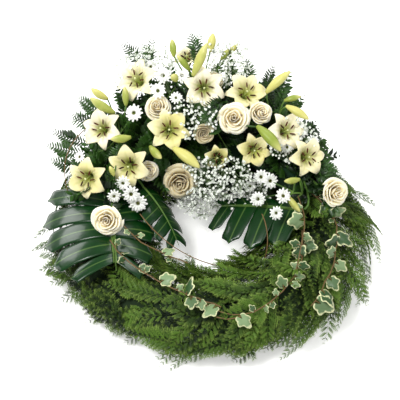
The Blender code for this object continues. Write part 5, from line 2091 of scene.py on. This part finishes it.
@dataclass
class Vine(Piece):
    """A bare brown vine that arches over the flowers or the cedar.

    Attributes:
        stops: The pixels and the heights of the stops of its curve.
        radius: Its radius.
    """

    stops: Sequence[tuple[float, float, float]]
    radius: float = 0.0012

    def build(self) -> bpy.types.Object:
        """Grows the vine and hands it over.

        Returns:
            The piece.
        """
        path = curve([height_at(*stop) for stop in self.stops], 14)
        points = Points()
        points.line(path, [TOWARDS] * len(path), [self.radius] * len(path), 0.6)
        piece = self.kit.grower.grow(Tree.SWEEP, self.node, points, self.kit.finishes.vine, Sides=6)
        shown(piece, self.node)
        return piece


# Where the photograph shows each flower: node, x, y, lift over the mound, lean right, lean up, opening, size,
# and a lily's yellow
LILIES = (
    ("lily_01", 137, 80, 0.010, -0.35, 0.25, 1.0, 0.98, 0.25),
    ("lily_02", 204, 88, 0.004, 0.05, -0.10, 0.9, 0.98, 0.05),
    ("lily_03", 246, 93, -0.010, 0.20, 0.25, 1.0, 0.95, 0.55),
    ("lily_04", 102, 129, 0.012, -0.25, 0.10, 1.0, 0.92, 0.10),
    ("lily_05", 169, 130, 0.010, 0.05, 0.00, 0.9, 0.98, 0.75),
    ("lily_06", 217, 157, -0.004, 0.10, -0.35, 0.5, 0.70, 0.90),
    ("lily_07", 254, 150, 0.004, 0.10, -0.20, 0.8, 0.82, 0.75),
    ("lily_08", 286, 131, 0.014, 0.30, 0.10, 0.9, 0.90, 0.05),
    ("lily_09", 307, 157, 0.012, 0.40, -0.05, 0.9, 0.90, 0.45),
    ("lily_10", 129, 166, 0.010, -0.15, -0.20, 0.9, 0.98, 0.55),
    ("lily_11", 87, 178, 0.012, -0.25, -0.20, 0.9, 0.94, 0.60),
    ("lily_12", 187, 58, -0.006, -0.10, 0.55, 0.4, 0.75, 0.30),
)
ROSES = (
    ("rose_01", 157, 106, 0.002, -0.10, 0.25, 0.5, 0.88),
    ("rose_02", 215, 78, -0.024, 0.35, 0.45, 0.6, 0.66),
    ("rose_03", 234, 118, 0.024, 0.00, 0.05, 0.9, 1.00),
    ("rose_04", 262, 112, 0.027, 0.30, 0.15, 0.1, 0.84),
    ("rose_05", 204, 134, -0.030, 0.10, -0.20, 0.3, 0.72),
    ("rose_06", 149, 172, 0.000, 0.20, -0.25, 0.3, 0.74),
    ("rose_07", 180, 184, 0.006, 0.00, -0.40, 1.0, 1.05),
    ("rose_08", 106, 221, 0.046, -0.10, -0.15, 0.5, 0.98),
    ("rose_09", 338, 193, 0.018, 0.45, -0.10, 0.5, 0.92),
)
# Buds by stem: base x, base y, tip x, tip y, lift, lean towards the viewer, radius
BUD_STEMS = (
    ("bud_stem_top", (
        (176, 81, 173, 77, 0.018, 2.6, 0.0085),
        (174, 57, 172, 40, 0.034, 0.1, 0.0075),
        (190, 71, 178, 57, 0.022, 0.2, 0.0070),
        (193, 76, 206, 46, 0.032, 0.3, 0.0105),
        (210, 52, 213, 34, 0.020, 0.1, 0.0095),
        (229, 54, 238, 45, 0.010, 0.1, 0.0060),
        (221, 60, 228, 50, 0.004, 0.2, 0.0060),
    )),
    ("bud_stem_left", (
        (108, 99, 92, 89, 0.010, 0.2, 0.0085),
        (115, 113, 92, 99, 0.014, 0.3, 0.0100),
        (126, 106, 125, 88, 0.004, 0.2, 0.0075),
        (131, 137, 112, 139, 0.030, 0.2, 0.0090),
        (114, 176, 110, 167, 0.014, 0.3, 0.0055),
    )),
    ("bud_stem_right", (
        (266, 93, 289, 73, 0.014, 0.2, 0.0100),
        (284, 101, 300, 97, 0.016, 0.1, 0.0065),
        (286, 106, 307, 119, 0.040, 0.2, 0.0090),
    )),
    ("bud_stem_low_right", (
        (267, 219, 268, 198, 0.020, 0.1, 0.0090),
        (300, 179, 285, 181, 0.016, 0.2, 0.0070),
        (288, 196, 299, 211, 0.010, 0.2, 0.0070),
    )),
    ("bud_stem_middle", (
        (257, 126, 279, 150, 0.047, 0.2, 0.0120),
        (173, 148, 198, 167, 0.030, 0.2, 0.0125),
        (150, 146, 161, 158, 0.016, 0.6, 0.0090),
    )),
)
# Daisies by stem: x, y, lift, lean right, lean up, size
DAISY_SPRAYS = (
    ("daisy_spray_top", (
        (163, 76, 0.010, 0.0, 0.3, 0.95),
        (158, 91, 0.022, 0.0, 0.1, 0.90),
        (182, 76, -0.012, 0.0, 0.3, 0.85),
        (151, 67, 0.006, -0.1, 0.4, 0.85),
    )),
    ("daisy_spray_left", (
        (134, 113, 0.018, -0.1, 0.1, 0.95),
        (80, 157, 0.012, -0.5, 0.2, 0.70),
    )),
    ("daisy_spray_low_left", (
        (123, 183, 0.012, 0.0, -0.3, 0.80),
        (131, 194, 0.014, 0.0, -0.3, 0.95),
        (138, 203, 0.016, 0.0, -0.3, 1.00),
        (114, 196, 0.004, 0.2, -0.4, 0.75),
    )),
    ("daisy_spray_low_right", (
        (261, 177, 0.014, -0.1, -0.1, 0.85),
        (270, 181, 0.010, 0.2, 0.0, 0.90),
        (258, 199, 0.050, -0.1, -0.1, 0.85),
        (283, 196, 0.024, 0.2, 0.1, 0.85),
        (276, 213, 0.050, 0.2, -0.1, 0.75),
    )),
    ("daisy_spray_right", (
        (301, 131, 0.006, 0.3, 0.2, 0.80),
        (287, 147, 0.010, 0.1, -0.1, 0.75),
        (313, 141, 0.004, 0.4, 0.2, 0.70),
    )),
    ("daisy_spray_middle", (
        (176, 98, 0.002, 0.0, 0.3, 0.70),
        (250, 186, 0.012, 0.0, -0.2, 0.70),
    )),
)
# Gypsophila: node, x, y, lift, half width and half height of the cloud, florets
CLOUDS = (
    ("gypsophila_middle", 216, 178, 0.014, 0.080, 0.046, 330),
    ("gypsophila_low", 203, 203, 0.020, 0.052, 0.034, 220),
    ("gypsophila_top", 226, 62, 0.008, 0.052, 0.048, 170),
    ("gypsophila_top_left", 154, 62, 0.016, 0.058, 0.034, 130),
    ("gypsophila_right", 292, 140, 0.006, 0.050, 0.046, 110),
    ("gypsophila_left", 128, 74, -0.004, 0.036, 0.040, 60),
    ("gypsophila_heart", 192, 118, 0.004, 0.052, 0.044, 110),
    ("gypsophila_low_right", 246, 196, 0.020, 0.048, 0.034, 90),
)
# Leafy twigs: foot x, y, lift, tip x, y, lean towards the viewer; then the bearing that they stand round
GREENS = (
    ("greens_left", (
        (142, 62, -0.004, 126, 41, 0.1),
        (149, 58, 0.008, 145, 38, 0.1),
        (97, 112, -0.020, 79, 96, 0.1),
        (92, 124, -0.020, 72, 113, 0.1),
        (74, 140, 0.004, 56, 132, 0.1),
        (72, 152, -0.004, 54, 146, 0.1),
        (70, 166, -0.010, 50, 160, 0.1),
        (128, 148, 0.004, 116, 152, 0.4),
    ), -50.0, 100),
    ("greens_middle", (
        (196, 50, 0.034, 191, 33, 0.0),
        (250, 72, 0.000, 243, 57, 0.1),
        (222, 102, 0.010, 204, 112, 0.5),
        (214, 106, 0.006, 200, 122, 0.5),
    ), 0.0, 110),
    ("greens_right", (
        (268, 80, 0.000, 274, 66, 0.1),
        (310, 152, -0.006, 330, 158, 0.1),
        (318, 166, -0.006, 338, 170, 0.1),
        (322, 176, -0.008, 342, 182, 0.1),
    ), 50.0, 100, 0.74),
)
# Ivy: x, y, lift over the bed of the cedar
IVY_TRAILS = (
    ("ivy_left", (
        (110, 240, 0.074), (117, 251, 0.070), (129, 262, 0.066), (143, 272, 0.062), (158, 281, 0.058),
        (174, 289, 0.056), (190, 296, 0.054), (206, 302, 0.052), (221, 307, 0.052),
    )),
    ("ivy_middle", (
        (216, 317, 0.050), (236, 318, 0.050), (254, 312, 0.050), (269, 303, 0.050), (283, 291, 0.050),
        (294, 277, 0.050), (301, 262, 0.050), (303, 246, 0.050), (302, 230, 0.052),
    )),
    ("ivy_right", (
        (306, 190, 0.072), (320, 200, 0.066), (331, 211, 0.062), (337, 226, 0.058), (338, 242, 0.056),
        (335, 258, 0.054), (330, 274, 0.052), (322, 290, 0.050), (311, 306, 0.050),
    )),
    ("ivy_inner", (
        (120, 222, 0.080), (134, 236, 0.078), (150, 247, 0.074), (168, 256, 0.070), (188, 263, 0.066),
    )),
    ("ivy_strand", (
        (298, 196, 0.090), (304, 214, 0.080), (304, 232, 0.076), (300, 252, 0.072), (296, 270, 0.066),
    )),
)
# Bare vines: x, y, height of the stops of their curve
VINES = (
    ("vine_left", ((96, 122, 0.26), (54, 146, 0.24), (68, 192, 0.12))),
    ("vine_right", ((262, 214, 0.17), (272, 236, 0.16), (264, 262, 0.10))),
    ("vine_low", ((140, 214, 0.17), (176, 262, 0.15), (232, 268, 0.10))),
    ("vine_bottom", ((196, 296, 0.13), (250, 346, 0.14), (300, 268, 0.12))),
)


# The studio


@dataclass
class Studio:
    """A pale floor, soft lights and the photograph's camera.

    Attributes:
        floor_half: Half the floor's side.
        paper: The floor's colour.
        daylight: The strength of the light from all around.
        aim: The point at which the lights point.
    """

    floor_half: float = 14.0
    paper: str = "#F4F4F2"
    daylight: float = 0.34
    aim: tuple[float, float, float] = (0.0, 0.05, 0.15)

    # Each light: name, place, side of its square, watts
    LIGHTS = (
        ("key", (-1.1, -1.0, 2.7), 1.0, 80.0),
        ("fill", (1.9, -1.2, 1.8), 1.8, 24.0),
        ("back", (-1.9, 1.5, 1.35), 1.2, 34.0),
        ("top", (0.7, 1.5, 2.3), 1.4, 34.0),
    )

    def build(self) -> None:
        """Builds the studio."""
        shell = Shell()
        half = self.floor_half
        ends = ((-half, -half), (half, -half), (half, half), (-half, half))
        shell.face([shell.add(Vector((x, y, -0.001))) for x, y in ends])
        # Matt seamless paper: even and white, with hardly any gloss
        paper = PaperFinish("white_backdrop_paper", self.paper, self.paper, self.paper, 0.9, 0.9, 0.02,
                            0.00002).material()
        floor = shell.made("floor", [paper])
        world = bpy.data.worlds.new("studio")
        bpy.context.scene.world = world
        world.use_nodes = True
        background = world.node_tree.nodes["Background"].inputs
        background["Color"].default_value = (1.0, 1.0, 1.0, 1.0)
        background["Strength"].default_value = self.daylight
        for name, place, size, watts in self.LIGHTS:
            data = bpy.data.lights.new(name, "AREA")
            data.size, data.energy = size, watts
            self.pointed(name, data, Vector(place), Vector(self.aim) - Vector(place))
        # The photograph's colours are those of a plain display, with no film look
        bpy.context.scene.view_settings.view_transform = "Standard"
        data = bpy.data.cameras.new("camera")
        data.sensor_width = SENSOR_WIDTH
        data.lens = SENSOR_WIDTH * VIEW_DISTANCE / (PIXEL * PHOTO_WIDTH)
        bpy.context.scene.camera = self.pointed("camera", data, EYE, -TOWARDS)

    def pointed(self, name: str, data: bpy.types.ID, place: Vector, forward: Vector) -> bpy.types.Object:
        """Adds a light or a camera.

        Args:
            name: The object's name.
            data: The light or the camera.
            place: Where it stands.
            forward: The direction in which it points.

        Returns:
            The object.
        """
        thing = bpy.data.objects.new(name, data)
        thing.location = place
        thing.rotation_mode = "QUATERNION"
        thing.rotation_quaternion = forward.to_track_quat("-Z", "Y")
        bpy.context.scene.collection.objects.link(thing)
        return thing


def main() -> None:
    """Builds the studio and every piece of the wreath, then notes the sizes."""
    logging.basicConfig(level=logging.INFO, format="%(name)s %(message)s")
    Studio().build()
    kit = Kit()
    # The flowers come first, because the smaller plants keep clear of them
    groups = ((Lily, LILIES), (Rose, ROSES), (BudStem, BUD_STEMS), (DaisySpray, DAISY_SPRAYS),
              (Monstera, MONSTERA), (Gypsophila, CLOUDS), (Greens, GREENS), (IvyTrail, IVY_TRAILS),
              (Vine, VINES))
    for maker, rows in groups:
        for row in rows:
            maker(kit, *row).build()
    cedar(kit)
    kit.shapes.clear()
    foam = kit.finishes.foam
    for name, finish in (("straw_ring", kit.finishes.straw), ("foam_brick_left", foam),
                         ("foam_brick_middle", foam), ("foam_brick_right", foam)):
        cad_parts[name].data.materials.clear()
        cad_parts[name].data.materials.append(finish)
        log.info("%s: finished as packed", name)


if __name__ == "__main__":
    main()
